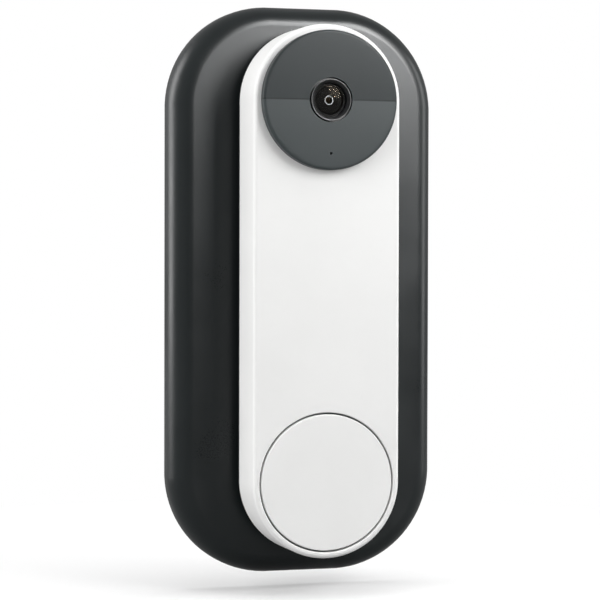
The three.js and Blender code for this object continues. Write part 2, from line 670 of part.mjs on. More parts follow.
function lensElement({ behind, thickness }) {
  const radius = BARREL_RADIUS - BARREL_WALL - NEAR;
  const front = barrelFront - behind;
  return turned([
    [0, front], [radius * 0.6, front - LENS_SAG / 3], [radius, front - LENS_SAG],
    [radius, front - thickness], [0, front - thickness],
  ], 0, endZ);
}

function lensHolder() {
  const { side, room } = LENS_HOLDER;
  const block = box(side, side, cameraBoardFront + NEAR, holderFront, 0, endZ);
  const sensorRoom = box(room, room, cameraBoardFront - BEYOND, sensorRoof, 0, endZ);
  const bore = disc(BARREL_RADIUS + SEAT, sensorRoof - BEYOND, holderFront + BEYOND, 0, endZ);
  return cut(block, [sensorRoom, bore]);
}

function imageSensor() {
  return chip(IMAGE_SENSOR, cameraBoardFront, 0, endZ);
}

function cameraBoard() {
  const outline = roundedRect(CAMERA_BOARD.width, CAMERA_BOARD.height, BOARD_CORNER, endZ);
  return slab(outline, cameraBoardBack, cameraBoardFront);
}

function ledBoard() {
  return ring(flangeRadius + FIT, skirtRadius - SKIRT_RIM - FIT, ledBoardBack, ledBoardFront, 0, endZ);
}

function infraredLed(side) {
  const x = side * INFRARED_X;
  const face = ledBoardFront + NEAR + INFRARED_LED.depth;
  const { radius, sunk, rise } = INFRARED_LENS;
  return chip(INFRARED_LED, ledBoardFront, x, endZ).add(peg(radius, face - sunk, face + rise, x, endZ));
}

function motionSensor() {
  const face = ledBoardFront + NEAR + MOTION_SENSOR.depth;
  const eye = box(MOTION_EYE.width, MOTION_EYE.height, face - MOTION_EYE.rise / 2,
    face + MOTION_EYE.rise, 0, motionSensorZ);
  return chip(MOTION_SENSOR, ledBoardFront, 0, motionSensorZ).add(eye);
}

function microphone() {
  const place = endZ - MIC_DROP;
  const face = ledBoardFront + NEAR + MICROPHONE.depth;
  const port = peg(MICROPHONE_PORT.radius, face - MICROPHONE_PORT.depth, face + BEYOND, 0, place);
  return chip(MICROPHONE, ledBoardFront, 0, place).subtract(port);
}

function microphoneGasket() {
  const back = ledBoardFront + MICROPHONE.depth + 2 * NEAR;
  return ring(GASKET.inner, GASKET.outer, back, discInside - NEAR, 0, endZ - MIC_DROP, HOLE_STEPS);
}

// ---- Button ----
function buttonCap() {
  return turned([
    [0, bodyFront], [buttonRadius - CAP_CHAMFER, bodyFront],
    [buttonRadius, bodyFront - CAP_CHAMFER], [buttonRadius, capBack], [POST_RADIUS, capBack],
    [POST_RADIUS, postBack], [0, postBack],
  ], 0, -endZ, RIM_STEPS);
}

function switchPlunger() {
  return peg(PLUNGER_RADIUS, plungerBack, plungerFront, 0, -endZ);
}

function buttonSwitch() {
  const block = box(SWITCH_SIDE, SWITCH_SIDE, switchBack, switchFront, 0, -endZ);
  return block.subtract(peg(PLUNGER_RADIUS + SEAT, switchBack + SWITCH_FLOOR, switchFront + BEYOND,
    0, -endZ));
}

function lightRing() {
  return ring(lightRingRadius - LIGHT_RING_WIDTH, lightRingRadius,
    lightRingFront - LIGHT_RING_HEIGHT, lightRingFront, 0, -endZ, RIM_STEPS);
}

// A silicone skirt that keeps water off the switch and flexes as the cap goes in.
function buttonSeal() {
  const foot = buttonBoardFront + NEAR;
  const top = capBack - NEAR;
  return turned([
    [SKIRT.top, top], [SKIRT.shoulder, top], [SKIRT.knee, foot + SKIRT_FOOT.knee],
    [SKIRT.foot, foot + SKIRT_FOOT.edge], [SKIRT.foot, foot], [SKIRT.footIn, foot],
    [SKIRT.top, top - SKIRT_WALL], [SKIRT.top, top],
  ], 0, -endZ);
}

function buttonBoard() {
  return disc(buttonBoardRadius, buttonBoardBack, buttonBoardFront, 0, -endZ);
}

function ringLed(index) {
  const angle = (index + 0.5) * Math.PI / 2;
  const reach = buttonBoardRadius - RING_LED.inset;
  return chip(RING_LED, buttonBoardFront, reach * Math.cos(angle), -endZ + reach * Math.sin(angle));
}

// ---- Power and boards ----
function innerFrame() {
  const wall = FRAME_WALL;
  const outer = roundedRect(2 * frameHalf, 2 * frameEnd, FRAME_CORNER.outer);
  const inner = roundedRect(2 * (frameHalf - wall), 2 * (frameEnd - wall), FRAME_CORNER.inner);
  const rise = frameFloor + FRAME_RISE;
  return slab(outer, frameBack, rise).subtract(slab(inner, frameFloor, rise + BEYOND));
}

function batteryPack() {
  const outline = roundedRect(2 * batteryHalf, 2 * batteryEnd, BATTERY_CORNER);
  return roundedSlab(outline, batteryBack, batteryFront, BATTERY_EDGE, BATTERY_EDGE, 'front');
}

function batteryFoam() {
  const width = 2 * (batteryHalf - FOAM_MARGIN.side);
  return box(width, 2 * (batteryEnd - FOAM_MARGIN.end), foamFront - FOAM, foamFront);
}

function batteryConnector() {
  return chip(CONNECTOR, boardFront, -RESET_X, usbZ);
}

// Comes out of the battery's end, down past the frame and into the connector.
function batteryLead() {
  const out = batteryBack + LEAD_RISE;
  const route = [
    [out, batteryEnd + FIT], [out, usbZ - 1.6], [out - 0.6, usbZ - 0.4], [out - 2, usbZ],
    [boardFront + CONNECTOR.depth + SEAT, usbZ],
  ];
  return ribbon(route, LEAD.thickness, LEAD.width, -RESET_X);
}

function mainBoard() {
  const height = boardTop - boardBottom;
  const outline = roundedRect(2 * boardHalf, height, BOARD_CORNER, (boardTop + boardBottom) / 2);
  const notches = housingScrewPlaces().map(([x, z]) => peg(SCREW_BOSS + FIT, boardBack - BEYOND,
    boardFront + BEYOND, x, z));
  const usb = box(USB_WIDTH + 2 * FIT, USB_HEIGHT + 2 * FIT, boardBack - BEYOND,
    boardFront + BEYOND, 0, usbZ);
  return cut(slab(outline, boardBack, boardFront), [...notches, usb]);
}

function shieldCan({ width, height }, z) {
  const back = boardFront + NEAR;
  const can = box(width, height, back, shieldFront, 0, z);
  const inside = box(width - 2 * SHIELD_WALL, height - 2 * SHIELD_WALL, back - BEYOND,
    shieldFront - SHIELD_WALL, 0, z);
  return can.subtract(inside);
}

function antenna() {
  const { thickness, length, depth, fromWall } = ANTENNA;
  return box(thickness, length, frameBack, frameBack + depth, -(innerHalf - fromWall), 0);
}

function speaker() {
  const middle = (speakerTop + speakerBottom) / 2;
  const outline = roundedRect(SPEAKER_WIDTH, SPEAKER_HEIGHT, BOARD_CORNER, middle);
  return slab(outline, speakerBack, ductFront);
}

// A foam duct from the speaker down to the slots in the housing's lower edge.
function speakerDuct() {
  const height = speakerBottom - SEAT - ductEnd;
  const z = ductEnd + height / 2;
  const { width, wall, skin } = DUCT;
  const tube = box(width, height, ductBack, ductFront, 0, z);
  const way = box(width - 2 * wall, height + 2 * BEYOND, ductBack + skin, ductFront - skin, 0, z);
  return tube.subtract(way);
}

function usbOutline(wall) {
  const height = USB_HEIGHT - 2 * wall;
  return roundedRect(USB_WIDTH - 2 * wall, height, height / 2 - NEAR / 2, usbZ);
}

function usbSocket() {
  const back = pocketFloor + 2 * SEAT;
  const front = back + USB_DEPTH;
  const hollow = slab(usbOutline(0), back, front)
    .subtract(slab(usbOutline(USB_WALL), back - BEYOND, front - USB_BACK_WALL));
  const { width, thickness } = USB_TONGUE;
  return hollow.add(box(width, thickness, back + USB_TONGUE.back, front - USB_TONGUE.front, 0, usbZ));
}

function resetButton() {
  const back = pocketFloor - SEAT;
  const shoulder = coverInside + NEAR;
  const front = shoulder + RESET_FLANGE.depth;
  const flange = RESET_RADIUS + RESET_FLANGE.wider;
  return turned([
    [0, front], [flange, front], [flange, shoulder], [RESET_RADIUS, shoulder],
    [RESET_RADIUS, back], [0, back],
  ], RESET_X, usbZ, HOLE_STEPS);
}

function resetSwitch() {
  const { side, depth } = RESET_SWITCH;
  return box(side, side, boardBack - NEAR - depth, boardBack - NEAR, RESET_X, usbZ);
}

function terminalPost(side) {
  return ring(TERMINAL_BORE, TERMINAL_RADIUS, pocketFloor + SEAT, boardBack - FIT,
    side * TERMINAL_X, -cableDrop, HOLE_STEPS);
}

function terminalScrew(side) {
  return screw(TERMINAL_HEAD, TERMINAL_SHANK, pocketFloor - NEAR, boardBack - FIT,
    side * TERMINAL_X, -cableDrop, 1);
}

function cameraFlex() {
  const low = boardFront + FLEX.thickness;
  const high = cameraBoardFront + FLEX.thickness;
  return ribbon([
    [low, boardTop - 4], [low, boardTop - 0.5], [low + 0.9, boardTop + 0.6],
    [high + 1.3, endZ - 10.6], [high, endZ - 9.4], [high, endZ - 7],
  ], FLEX.thickness, FLEX.width, RESET_X);
}

function buttonFlex() {
  const low = boardFront + FLEX.thickness;
  const high = buttonBoardBack - FLEX.thickness;
  const z = boardBottom;
  return ribbon([
    [low, z + 6], [low, z + 1.6], [low + 0.6, z + 1], [high - 0.6, z + 0.6],
    [high, z], [high, z - 3],
  ], FLEX.thickness, FLEX.width);
}

// ---- Materials ----
function material(color, roughness, metalness = 0) {
  return new THREE.MeshStandardMaterial({ color, roughness, metalness });
}

const charcoalPlastic = material('#33383a', 0.55);
const whitePlastic = material('#e9e9e8', 0.42);
const coverPlastic = material('#2b2e30', 0.6);
const discPlastic = material('#505457', 0.38);
const blackPlastic = material('#121315', 0.45);
const framePlastic = material('#3b3d40', 0.6);
const lensGlass = material('#0b0d10', 0.05);
const silicone = material('#c9cbcb', 0.6);
const blackRubber = material('#17181a', 0.8);
const foam = material('#1e1f21', 0.95);
const steel = material('#b4b7ba', 0.3, 1);
const springSteel = material('#8f9295', 0.35, 1);
const tin = material('#c3c5c6', 0.35, 1);
const brass = material('#b58d45', 0.35, 1);
const boardGreen = material('#1d5a3a', 0.5);
const blackChip = material('#1a1b1d', 0.5);
const batteryWrap = material('#2d5e8c', 0.5);
const amberFlex = material('#a8651f', 0.45);
const smokedGuide = material('#5d6163', 0.35);

const doorbell = new THREE.Group();

function part(name, solid, look) {
  const mesh = solid.getMesh();
  const geometry = new THREE.BufferGeometry();
  geometry.setAttribute('position', new THREE.BufferAttribute(mesh.vertProperties, 3));
  geometry.setIndex(new THREE.BufferAttribute(mesh.triVerts, 1));
  geometry.computeVertexNormals();
  const node = new THREE.Mesh(geometry, look);
  node.name = name;
  doorbell.add(node);
}

part('wall_plate', wallPlate(), charcoalPlastic);
part('mounting_bracket', mountingBracket(), framePlastic);
part('bracket_screw_lower', bracketScrew(-1), steel);
part('bracket_screw_upper', bracketScrew(1), steel);
part('release_catch', releaseCatch(), springSteel);
part('catch_screw', catchScrew(), steel);

part('front_shell', frontShell(), whitePlastic);
part('rear_cover', rearCover(), coverPlastic);
part('housing_seal', housingSeal(), blackRubber);
housingScrewPlaces().forEach((place, i) => part(`housing_screw_${i + 1}`, housingScrew(place), steel));

part('camera_disc', cameraDisc(), discPlastic);
part('lens_bezel', lensBezel(), blackPlastic);
part('lens_window', lensWindow(), lensGlass);
part('window_seal', windowSeal(), blackRubber);
part('lens_barrel', lensBarrel(), blackPlastic);
part('front_lens', lensElement(FRONT_LENS), lensGlass);
part('rear_lens', lensElement(REAR_LENS), lensGlass);
part('lens_holder', lensHolder(), blackPlastic);
part('image_sensor', imageSensor(), blackChip);
part('camera_board', cameraBoard(), boardGreen);
part('led_board', ledBoard(), boardGreen);
mirrored((s) => part(`infrared_led_${s < 0 ? 'left' : 'right'}`, infraredLed(s), smokedGuide));
part('motion_sensor', motionSensor(), tin);
part('microphone', microphone(), tin);
part('microphone_gasket', microphoneGasket(), blackRubber);

part('inner_frame', innerFrame(), framePlastic);
part('battery_pack', batteryPack(), batteryWrap);
part('battery_foam', batteryFoam(), foam);
part('battery_connector', batteryConnector(), whitePlastic);
part('battery_lead', batteryLead(), blackRubber);
part('main_board', mainBoard(), boardGreen);
part('processor_shield', shieldCan(PROCESSOR_CAN, processorZ), tin);
part('radio_shield', shieldCan(RADIO_CAN, radioZ), tin);
part('antenna', antenna(), brass);
part('speaker', speaker(), blackPlastic);
part('speaker_duct', speakerDuct(), foam);
part('camera_flex', cameraFlex(), amberFlex);
part('button_flex', buttonFlex(), amberFlex);

part('button_cap', buttonCap(), whitePlastic);
part('switch_plunger', switchPlunger(), blackPlastic);
part('button_switch', buttonSwitch(), tin);
part('light_ring', lightRing(), smokedGuide);
part('button_seal', buttonSeal(), silicone);
part('button_board', buttonBoard(), boardGreen);
[0, 1, 2, 3].forEach((i) => part(`ring_led_${i + 1}`, ringLed(i), whitePlastic));

part('usb_socket', usbSocket(), tin);
part('reset_button', resetButton(), framePlastic);
part('reset_switch', resetSwitch(), blackChip);
mirrored((s) => part(`terminal_post_${s < 0 ? 'left' : 'right'}`, terminalPost(s), brass));
mirrored((s) => part(`terminal_screw_${s < 0 ? 'left' : 'right'}`, terminalScrew(s), steel));

export default doorbell;
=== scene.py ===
"""A battery video doorbell on its wall plate: the visual model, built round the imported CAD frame.

Shapes are made in millimetres and become metres when a piece is finished. Depths are
distances out from the wall, so a face at depth d lies at y = -d.
"""

import json
import math
from collections import namedtuple

import bmesh
import bpy
from mathutils import Matrix, Vector


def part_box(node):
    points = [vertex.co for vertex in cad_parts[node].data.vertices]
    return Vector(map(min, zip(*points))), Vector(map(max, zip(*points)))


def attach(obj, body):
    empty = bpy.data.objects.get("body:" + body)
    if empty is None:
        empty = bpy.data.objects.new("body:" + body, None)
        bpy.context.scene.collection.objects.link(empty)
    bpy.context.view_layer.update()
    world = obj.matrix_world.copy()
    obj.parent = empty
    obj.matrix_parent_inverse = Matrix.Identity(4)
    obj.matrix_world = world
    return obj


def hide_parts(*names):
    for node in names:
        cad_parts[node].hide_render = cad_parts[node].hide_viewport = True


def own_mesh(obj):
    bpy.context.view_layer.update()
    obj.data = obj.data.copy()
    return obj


bl_info = {
    "name": "Video doorbell",
    "version": (1, 0, 0),
    "blender": (4, 5, 0),
    "location": "3D View > Sidebar > Doorbell",
    "description": "Builds a battery video doorbell on an oversize wall plate",
    "category": "Object",
}

MM = 0.001
NEAR = 0.01  # millimetres within which points count as being at the same place

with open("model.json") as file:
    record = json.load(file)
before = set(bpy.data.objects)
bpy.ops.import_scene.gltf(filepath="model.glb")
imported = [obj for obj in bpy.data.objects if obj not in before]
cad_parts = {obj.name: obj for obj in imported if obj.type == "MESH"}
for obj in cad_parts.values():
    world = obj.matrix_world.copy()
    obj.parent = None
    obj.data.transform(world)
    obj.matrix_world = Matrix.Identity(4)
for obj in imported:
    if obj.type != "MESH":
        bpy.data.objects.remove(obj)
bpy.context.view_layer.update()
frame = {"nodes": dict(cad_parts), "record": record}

Extent = namedtuple("Extent", "left right back front bottom top")


def extent(node):
    """A CAD node's box in millimetres, with its depths out from the wall."""
    low, high = (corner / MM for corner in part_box(node))
    return Extent(low.x, high.x, -high.y, -low.y, low.z, high.z)


def middle(node):
    """The x and z of a CAD node's middle, in millimetres."""
    box = extent(node)
    return (box.left + box.right) / 2, (box.bottom + box.top) / 2


PLATE = extent("wall_plate")
BRACKET = extent("mounting_bracket")
SHELL = extent("front_shell")
COVER = extent("rear_cover")
DISC = extent("camera_disc")
BEZEL = extent("lens_bezel")
WINDOW = extent("lens_window")
BARREL = extent("lens_barrel")
CAP = extent("button_cap")
GUIDE = extent("light_ring")
SKIRT = extent("button_seal")
SCREWS = [middle(f"housing_screw_{number}") for number in (1, 2, 3, 4)]
TERMINALS = [middle("terminal_post_left"), middle("terminal_post_right")]

HALF_WIDTH = SHELL.right
HALF_HEIGHT = SHELL.top
END_Z = HALF_HEIGHT - HALF_WIDTH
CAMERA_Z = (DISC.bottom + DISC.top) / 2
BUTTON_Z = (CAP.bottom + CAP.top) / 2


def linear(code):
    """An sRGB hex colour as linear red, green and blue."""
    values = [int(code[start : start + 2], 16) / 255 for start in (1, 3, 5)]
    return tuple(v / 12.92 if v <= 0.04045 else ((v + 0.055) / 1.055) ** 2.4 for v in values)


def length(name, description, millimetres):
    """A length property with its default in millimetres."""
    return bpy.props.FloatProperty(
        name=name, description=description, default=millimetres * MM, unit="LENGTH", precision=5
    )


def colour(name, description, code):
    """A colour property with its default as sRGB hex."""
    return bpy.props.FloatVectorProperty(
        name=name, description=description, default=linear(code), subtype="COLOR", min=0, max=1
    )


class DoorbellSizes(bpy.types.PropertyGroup):
    """Sizes that shape the visible pieces."""

    plate_corner: length("Plate corner", "Corner radius of the wall plate", 31.4)
    plate_edge_in: length("Plate edge, across", "How far its rounded edge runs in", 6.4)
    plate_edge_depth: length("Plate edge, deep", "How far its rounded edge runs back", 9.2)
    plate_skin: length("Plate skin", "Front wall over the ribs", 2.4)
    plate_wall: length("Plate rim", "Rim left round the ribs", 4.2)
    rib_pitch: length("Rib pitch", "Spacing of the ribs behind the plate", 15.4)
    rib_width: length("Rib width", "Thickness of each rib", 1.5)
    wall_hole_x: length("Wall screw, across", "Wall screw holes from the middle", 9.5)
    wall_hole_in: length("Wall screw, in", "Wall screw holes in from the end arcs", 3.0)
    cable_width: length("Cable way width", "Width of the way through the plate", 16.0)
    cable_height: length("Cable way height", "Height of the way through the plate", 22.0)
    shell_wall: length("Housing wall", "Wall of the front shell", 1.5)
    front_fillet: length("Front fillet", "Rounding round the front face", 1.2)
    cover_edge_in: length("Cover edge", "How far the rear cover's edge tucks in", 4.0)
    disc_edge: length("Disc edge", "Rounding of the camera disc", 0.8)
    disc_skin: length("Disc wall", "Wall of the camera disc", 1.2)
    disc_valley: length("Disc valley", "Depth of the valley across the disc", 0.3)
    bezel_width: length("Bezel width", "Ring round the camera window", 1.2)
    bezel_gap: length("Bezel gap", "Gap between bezel and disc", 0.45)
    window_dome: length("Window dome", "Rise of the camera window", 1.2)
    aperture: length("Lens opening", "Diameter of the small lens opening", 2.7)
    cap_edge: length("Button edge", "Rounding of the button", 0.35)
    button_gap: length("Button gap", "Gap round the button", 0.55)


class DoorbellColours(bpy.types.PropertyGroup):
    """Colours of the visible finishes."""

    plate: colour("Wall plate", "Charcoal ABS of the wall plate", "#1c2021")
    housing: colour("Housing", "White of the front shell and button", "#eeeeed")
    # The rear cover's near-black is partly painted shade: it stands in for the shadow line behind
    # the white shell.
    cover: colour("Rear cover", "Near-black of the rear cover", "#1c1d1f")
    disc: colour("Camera disc", "Grey of the disc's upper half", "#383c3d")
    # The lower half's lighter grey is painted light: it stands in for how light falls on the
    # valley's lower slope.
    disc_lower_painted_light: colour("Camera disc, lower", "Grey of the disc's lower half", "#424748")
    black: colour("Black plastic", "Bezel, barrel and speaker", "#0c0d0e")
    inner: colour("Inner plastic", "Bracket, frame and reset button", "#3a3d40")
    battery: colour("Battery film", "Film over the battery can", "#2d5e8c")


def size(name):
    """One of the doorbell's sizes in millimetres."""
    return getattr(bpy.context.scene.doorbell_sizes, name) / MM


def tone(name):
    """One of the doorbell's colours."""
    return tuple(getattr(bpy.context.scene.doorbell_colours, name))


# ---- Shapes ----

CORNER_STEPS = 22  # steps in a quarter of an outline's corners
TURN_STEPS = 96
WIDE_TURN_STEPS = 128  # for the disc and the button, which are large
HOLE_STEPS = 32
ROUNDING_STEPS = 4
FALL = 0.04  # millimetres between neighbouring outlines of a flat face, which a loft needs
FACING = Matrix.Rotation(math.radians(90), 4, "X")  # lays a flat shape against the wall


def housing_outline(inset):
    """Half width, half height and corner of the housing's outline, moved in by inset."""
    return HALF_WIDTH - inset, HALF_HEIGHT - inset, HALF_WIDTH - inset


def outline(bm, shape, depth):
    """Adds an outline with round corners at a depth, and returns its edges."""
    half_width, half_height, corner = shape
    half_step = Matrix.Rotation(math.radians(45 / CORNER_STEPS), 4, "Z")
    place = Matrix.Translation((0, -depth, 0)) @ FACING @ half_step
    segments = 4 * CORNER_STEPS
    verts = bmesh.ops.create_circle(bm, segments=segments, radius=corner, matrix=place)["verts"]
    corners = [(across, up) for across in (-1, 1) for up in (-1, 1)]
    quarters = [
        [vert for vert in verts if vert.co.x * across > 0 and vert.co.z * up > 0]
        for across, up in corners
    ]
    for (across, up), quarter in zip(corners, quarters):
        shift = (across * (half_width - corner), 0, up * (half_height - corner))
        bmesh.ops.translate(bm, verts=quarter, vec=shift)
    return list(dict.fromkeys(edge for vert in verts for edge in vert.link_edges))


def loft(bm, sections):
    """Joins outlines one to the next and closes both ends. Sections are (shape, depth)."""
    loops = [outline(bm, shape, depth) for shape, depth in sections]
    for first, second in zip(loops, loops[1:]):
        bmesh.ops.bridge_loops(bm, edges=first + second)
    for end in (loops[0], loops[-1]):
        bmesh.ops.edgeloop_fill(bm, edges=end)
    bmesh.ops.recalc_face_normals(bm, faces=bm.faces)


def rounding(reach_in, reach_back, steps=9):
    """Steps round a quarter ellipse: how far in, and how far short of its front, from the side."""
    angles = [math.pi / 2 * step / steps for step in range(steps + 1)]
    return [(reach_in * (1 - math.cos(a)), reach_back * (1 - math.sin(a))) for a in angles]


def turn(bm, profile, x=0.0, z=0.0, steps=TURN_STEPS, closed=False):
    """Spins (radius, depth, rounding) points round an axis square to the wall."""
    verts = [bm.verts.new((x + radius, -depth, z)) for radius, depth, _ in profile]
    pairs = list(zip(verts, verts[1:] + verts[:1]))
    edges = [bm.edges.new(pair) for pair in (pairs if closed else pairs[:-1])]
    bmesh.ops.spin(
        bm,
        geom=verts + edges,
        cent=(x, 0, z),
        axis=(0, 1, 0),
        angle=2 * math.pi,
        steps=steps,
        use_merge=True,
    )
    bmesh.ops.remove_doubles(bm, verts=bm.verts, dist=NEAR / 10)
    bmesh.ops.recalc_face_normals(bm, faces=bm.faces)
    for radius, depth, round_by in profile:
        if round_by:
            soften(bm, rim(bm, radius, depth, x, z), round_by)


def rim(bm, radius, depth, x=0.0, z=0.0):
    """The edges that lie on a circle about an axis square to the wall."""

    def lies_on(vert):
        away = math.hypot(vert.co.x - x, vert.co.z - z)
        return abs(away - radius) < NEAR and abs(vert.co.y + depth) < NEAR

    return [edge for edge in bm.edges if all(lies_on(vert) for vert in edge.verts)]


def soften(bm, edges, by, steps=ROUNDING_STEPS):
    """Rounds edges by an amount in millimetres."""
    bmesh.ops.bevel(
        bm,
        geom=edges,
        offset=by,
        offset_type="OFFSET",
        segments=steps,
        profile=0.5,
        affect="EDGES",
        clamp_overlap=True,
        material=-1,
    )


def block(bm, width, height, back, front, x=0.0, z=0.0):
    """Adds a box between two depths."""
    place = Matrix.Translation((x, -(back + front) / 2, z))
    scale = Matrix.Diagonal((width, front - back, height, 1))
    bmesh.ops.create_cube(bm, size=1, matrix=place @ scale)


def rod(bm, radius, long, place):
    """Adds a round rod, upright until its place turns it."""
    bmesh.ops.create_cone(
        bm,
        cap_ends=True,
        segments=HOLE_STEPS,
        radius1=radius,
        radius2=radius,
        depth=long,
        matrix=place,
    )


def peg(bm, radius, back, front, x=0.0, z=0.0):
    """Adds a round peg between two depths, square to the wall."""
    place = Matrix.Translation((x, -(back + front) / 2, z)) @ FACING
    rod(bm, radius, front - back, place)


def solid(name, shape):
    """An object from a function that draws in an empty bmesh."""
    bm = bmesh.new()
    shape(bm)
    mesh = bpy.data.meshes.new(name)
    bm.to_mesh(mesh)
    bm.free()
    made = bpy.data.objects.new(name, mesh)
    bpy.context.scene.collection.objects.link(made)
    return made


def combine(piece, tool, operation="DIFFERENCE"):
    """Cuts a tool from a piece, or joins it to it, and removes the tool."""
    modifier = piece.modifiers.new("combine", "BOOLEAN")
    modifier.operation = operation
    modifier.solver = "MANIFOLD"
    modifier.object = tool
    graph = bpy.context.evaluated_depsgraph_get()
    mesh = bpy.data.meshes.new_from_object(piece.evaluated_get(graph))
    piece.modifiers.clear()
    mesh.materials.clear()
    before, piece.data = piece.data, mesh
    bpy.data.meshes.remove(before)
    tool_mesh = tool.data
    bpy.data.objects.remove(tool)
    bpy.data.meshes.remove(tool_mesh)


def rework(piece, change):
    """Lets a function change a piece's mesh as a bmesh."""
    bm = bmesh.new()
    bm.from_mesh(piece.data)
    change(bm)
    bm.to_mesh(piece.data)
    bm.free()


def finish(piece, body, slot, finishes, *nodes, crease=28):
    """Turns a piece to metres, shades it, gives it its finish and puts it in its nodes' place."""
    mesh = piece.data
    if not mesh.polygons:
        raise RuntimeError(f"{piece.name} has no faces")
    mesh.transform(Matrix.Scale(MM, 4))
    for material in finishes:
        mesh.materials.append(material)
    mesh.shade_smooth()
    mesh.set_sharp_from_angle(angle=math.radians(crease))
    smooth = piece.modifiers.new("even shading", "WEIGHTED_NORMAL")
    smooth.keep_sharp = True
    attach(piece, body)
    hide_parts(*nodes)


# ---- Finishes ----


def add(tree, kind, inputs=None, **settings):
    """Adds a shader node with its settings, and sets or links its inputs."""
    node = tree.nodes.new("ShaderNode" + kind)
    for key, value in settings.items():
        setattr(node, key, value)
    for key, value in (inputs or {}).items():
        if isinstance(value, bpy.types.NodeSocket):
            tree.links.new(value, node.inputs[key])
        else:
            node.inputs[key].default_value = value
    return node


def per(millimetres):
    """The scale at which a pattern repeats once in so many millimetres."""
    return 1 / (millimetres * MM)


def rgba(rgb):
    """A colour with full alpha, as sockets want it."""
    return (*rgb, 1.0)


def shade(rgb, by):
    """A colour made lighter or darker."""
    return tuple(min(1.0, channel * by) for channel in rgb)


def blank(name):
    """A new material, its empty tree and its Object coordinates."""
    material = bpy.data.materials.new(name)
    material.use_nodes = True
    tree = material.node_tree
    tree.nodes.clear()
    return material, tree, add(tree, "TexCoord").outputs["Object"]


def output(tree, surface):
    """Sends a shader to the material's surface."""
    add(tree, "OutputMaterial", {"Surface": surface})


def worn_edges(tree, where, radius):
    """How much each point is a rubbed edge, broken up so the wear isn't even."""
    softened = add(tree, "Bevel", {"Radius": radius * MM}, samples=4).outputs["Normal"]
    straight = add(tree, "NewGeometry").outputs["Normal"]
    together = add(tree, "VectorMath", {0: softened, 1: straight}, operation="DOT_PRODUCT")
    edge = add(
        tree,
        "MapRange",
        {"Value": together.outputs["Value"], "From Min": 0.985, "From Max": 0.86},
    ).outputs["Result"]
    patches = add(tree, "TexNoise", {"Vector": where, "Scale": per(3.0), "Detail": 5.0})
    broken = add(
        tree, "MapRange", {"Value": patches.outputs["Fac"], "From Min": 0.42, "From Max": 0.62}
    ).outputs["Result"]
    return add(tree, "Math", {0: edge, 1: broken}, operation="MULTIPLY").outputs["Value"]


def moulded_plastic(
    name, rgb, roughness, grain, relief, wear=None, mottle=0.05, specular=0.5, lower=None
):
    """Injection-moulded plastic: the tool's grain, a little haze from handling, rubbed edges. With
    a lower colour it also gets a lighter lower half as painted light and a dark hairline as painted
    shade.
    """
    material, tree, where = blank(name)
    cloud = add(
        tree,
        "TexNoise",
        {"Vector": where, "Scale": per(22.0), "Detail": 4.0, "Roughness": 0.55},
    ).outputs["Fac"]
    speck = add(
        tree, "TexNoise", {"Vector": where, "Scale": per(grain), "Detail": 2.5, "Roughness": 0.6}
    ).outputs["Fac"]
    base = rgba(rgb)
    # A lower colour paints light on the lower half and a dark hairline of shade between the halves.
    if lower:
        base = painted_halves_and_groove_shade(tree, where, rgb, lower)
    mottled = add(
        tree,
        "MapRange",
        {
            "Value": cloud,
            "From Min": 0.3,
            "From Max": 0.7,
            "To Min": 1.0 - mottle,
            "To Max": 1.0 + mottle,
        },
    ).outputs["Result"]
    tinted = add(
        tree, "Mix", {0: 1.0, 6: base, 7: mottled}, data_type="RGBA", blend_type="MULTIPLY"
    ).outputs[2]
    if wear:
        rubbed = worn_edges(tree, where, 0.35)
        tinted = add(
            tree, "Mix", {0: rubbed, 6: tinted, 7: rgba(wear)}, data_type="RGBA"
        ).outputs[2]
    handled = add(
        tree,
        "MapRange",
        {
            "Value": cloud,
            "From Min": 0.3,
            "From Max": 0.7,
            "To Min": roughness - 0.05,
            "To Max": roughness + 0.05,
        },
    ).outputs["Result"]
    sparkle = add(
        tree,
        "Math",
        {0: speck, 1: 0.12, 2: handled},
        operation="MULTIPLY_ADD",
    ).outputs["Value"]
    evened = add(tree, "Math", {0: sparkle, 1: 0.06}, operation="SUBTRACT").outputs["Value"]
    bumped = add(
        tree, "Bump", {"Height": speck, "Distance": relief * MM, "Strength": 1.0}
    ).outputs["Normal"]
    surface = add(
        tree,
        "BsdfPrincipled",
        {
            "Base Color": tinted,
            "Roughness": evened,
            "Normal": bumped,
            "IOR": 1.5,
            "Specular IOR Level": specular,
        },
    )
    output(tree, surface.outputs["BSDF"])
    return material


def painted_halves_and_groove_shade(tree, where, upper, lower):
    """Painted light and shade across the disc: one grey above the camera's middle and a lighter one
    below, the lighter half standing in for how light falls on the valley's lower slope, with a dark
    hairline of painted shade between them along the groove.
    """
    height = add(tree, "SeparateXYZ", {"Vector": where}).outputs["Z"]
    above = add(
        tree,
        "MapRange",
        {
            "Value": height,
            "From Min": (CAMERA_Z - 0.12) * MM,
            "From Max": (CAMERA_Z + 0.12) * MM,
        },
    ).outputs["Result"]
    away = add(tree, "Math", {0: height, 1: CAMERA_Z * MM}, operation="SUBTRACT")
    distance = add(tree, "Math", {0: away.outputs["Value"]}, operation="ABSOLUTE")
    # Painted shade: a dark hairline along the valley's crease, standing in for the shade in its
    # groove.
    line = add(
        tree,
        "MapRange",
        {
            "Value": distance.outputs["Value"],
            "From Min": 0.12 * MM,
            "From Max": 0.3 * MM,
            "To Min": 0.55,
            "To Max": 1.0,
        },
    ).outputs["Result"]
    # Painted light: the lighter lower grey below the camera's middle, the upper grey above it.
    tones = add(
        tree, "Mix", {0: above, 6: rgba(lower), 7: rgba(upper)}, data_type="RGBA"
    ).outputs[2]
    return add(
        tree, "Mix", {0: 1.0, 6: tones, 7: line}, data_type="RGBA", blend_type="MULTIPLY"
    ).outputs[2]


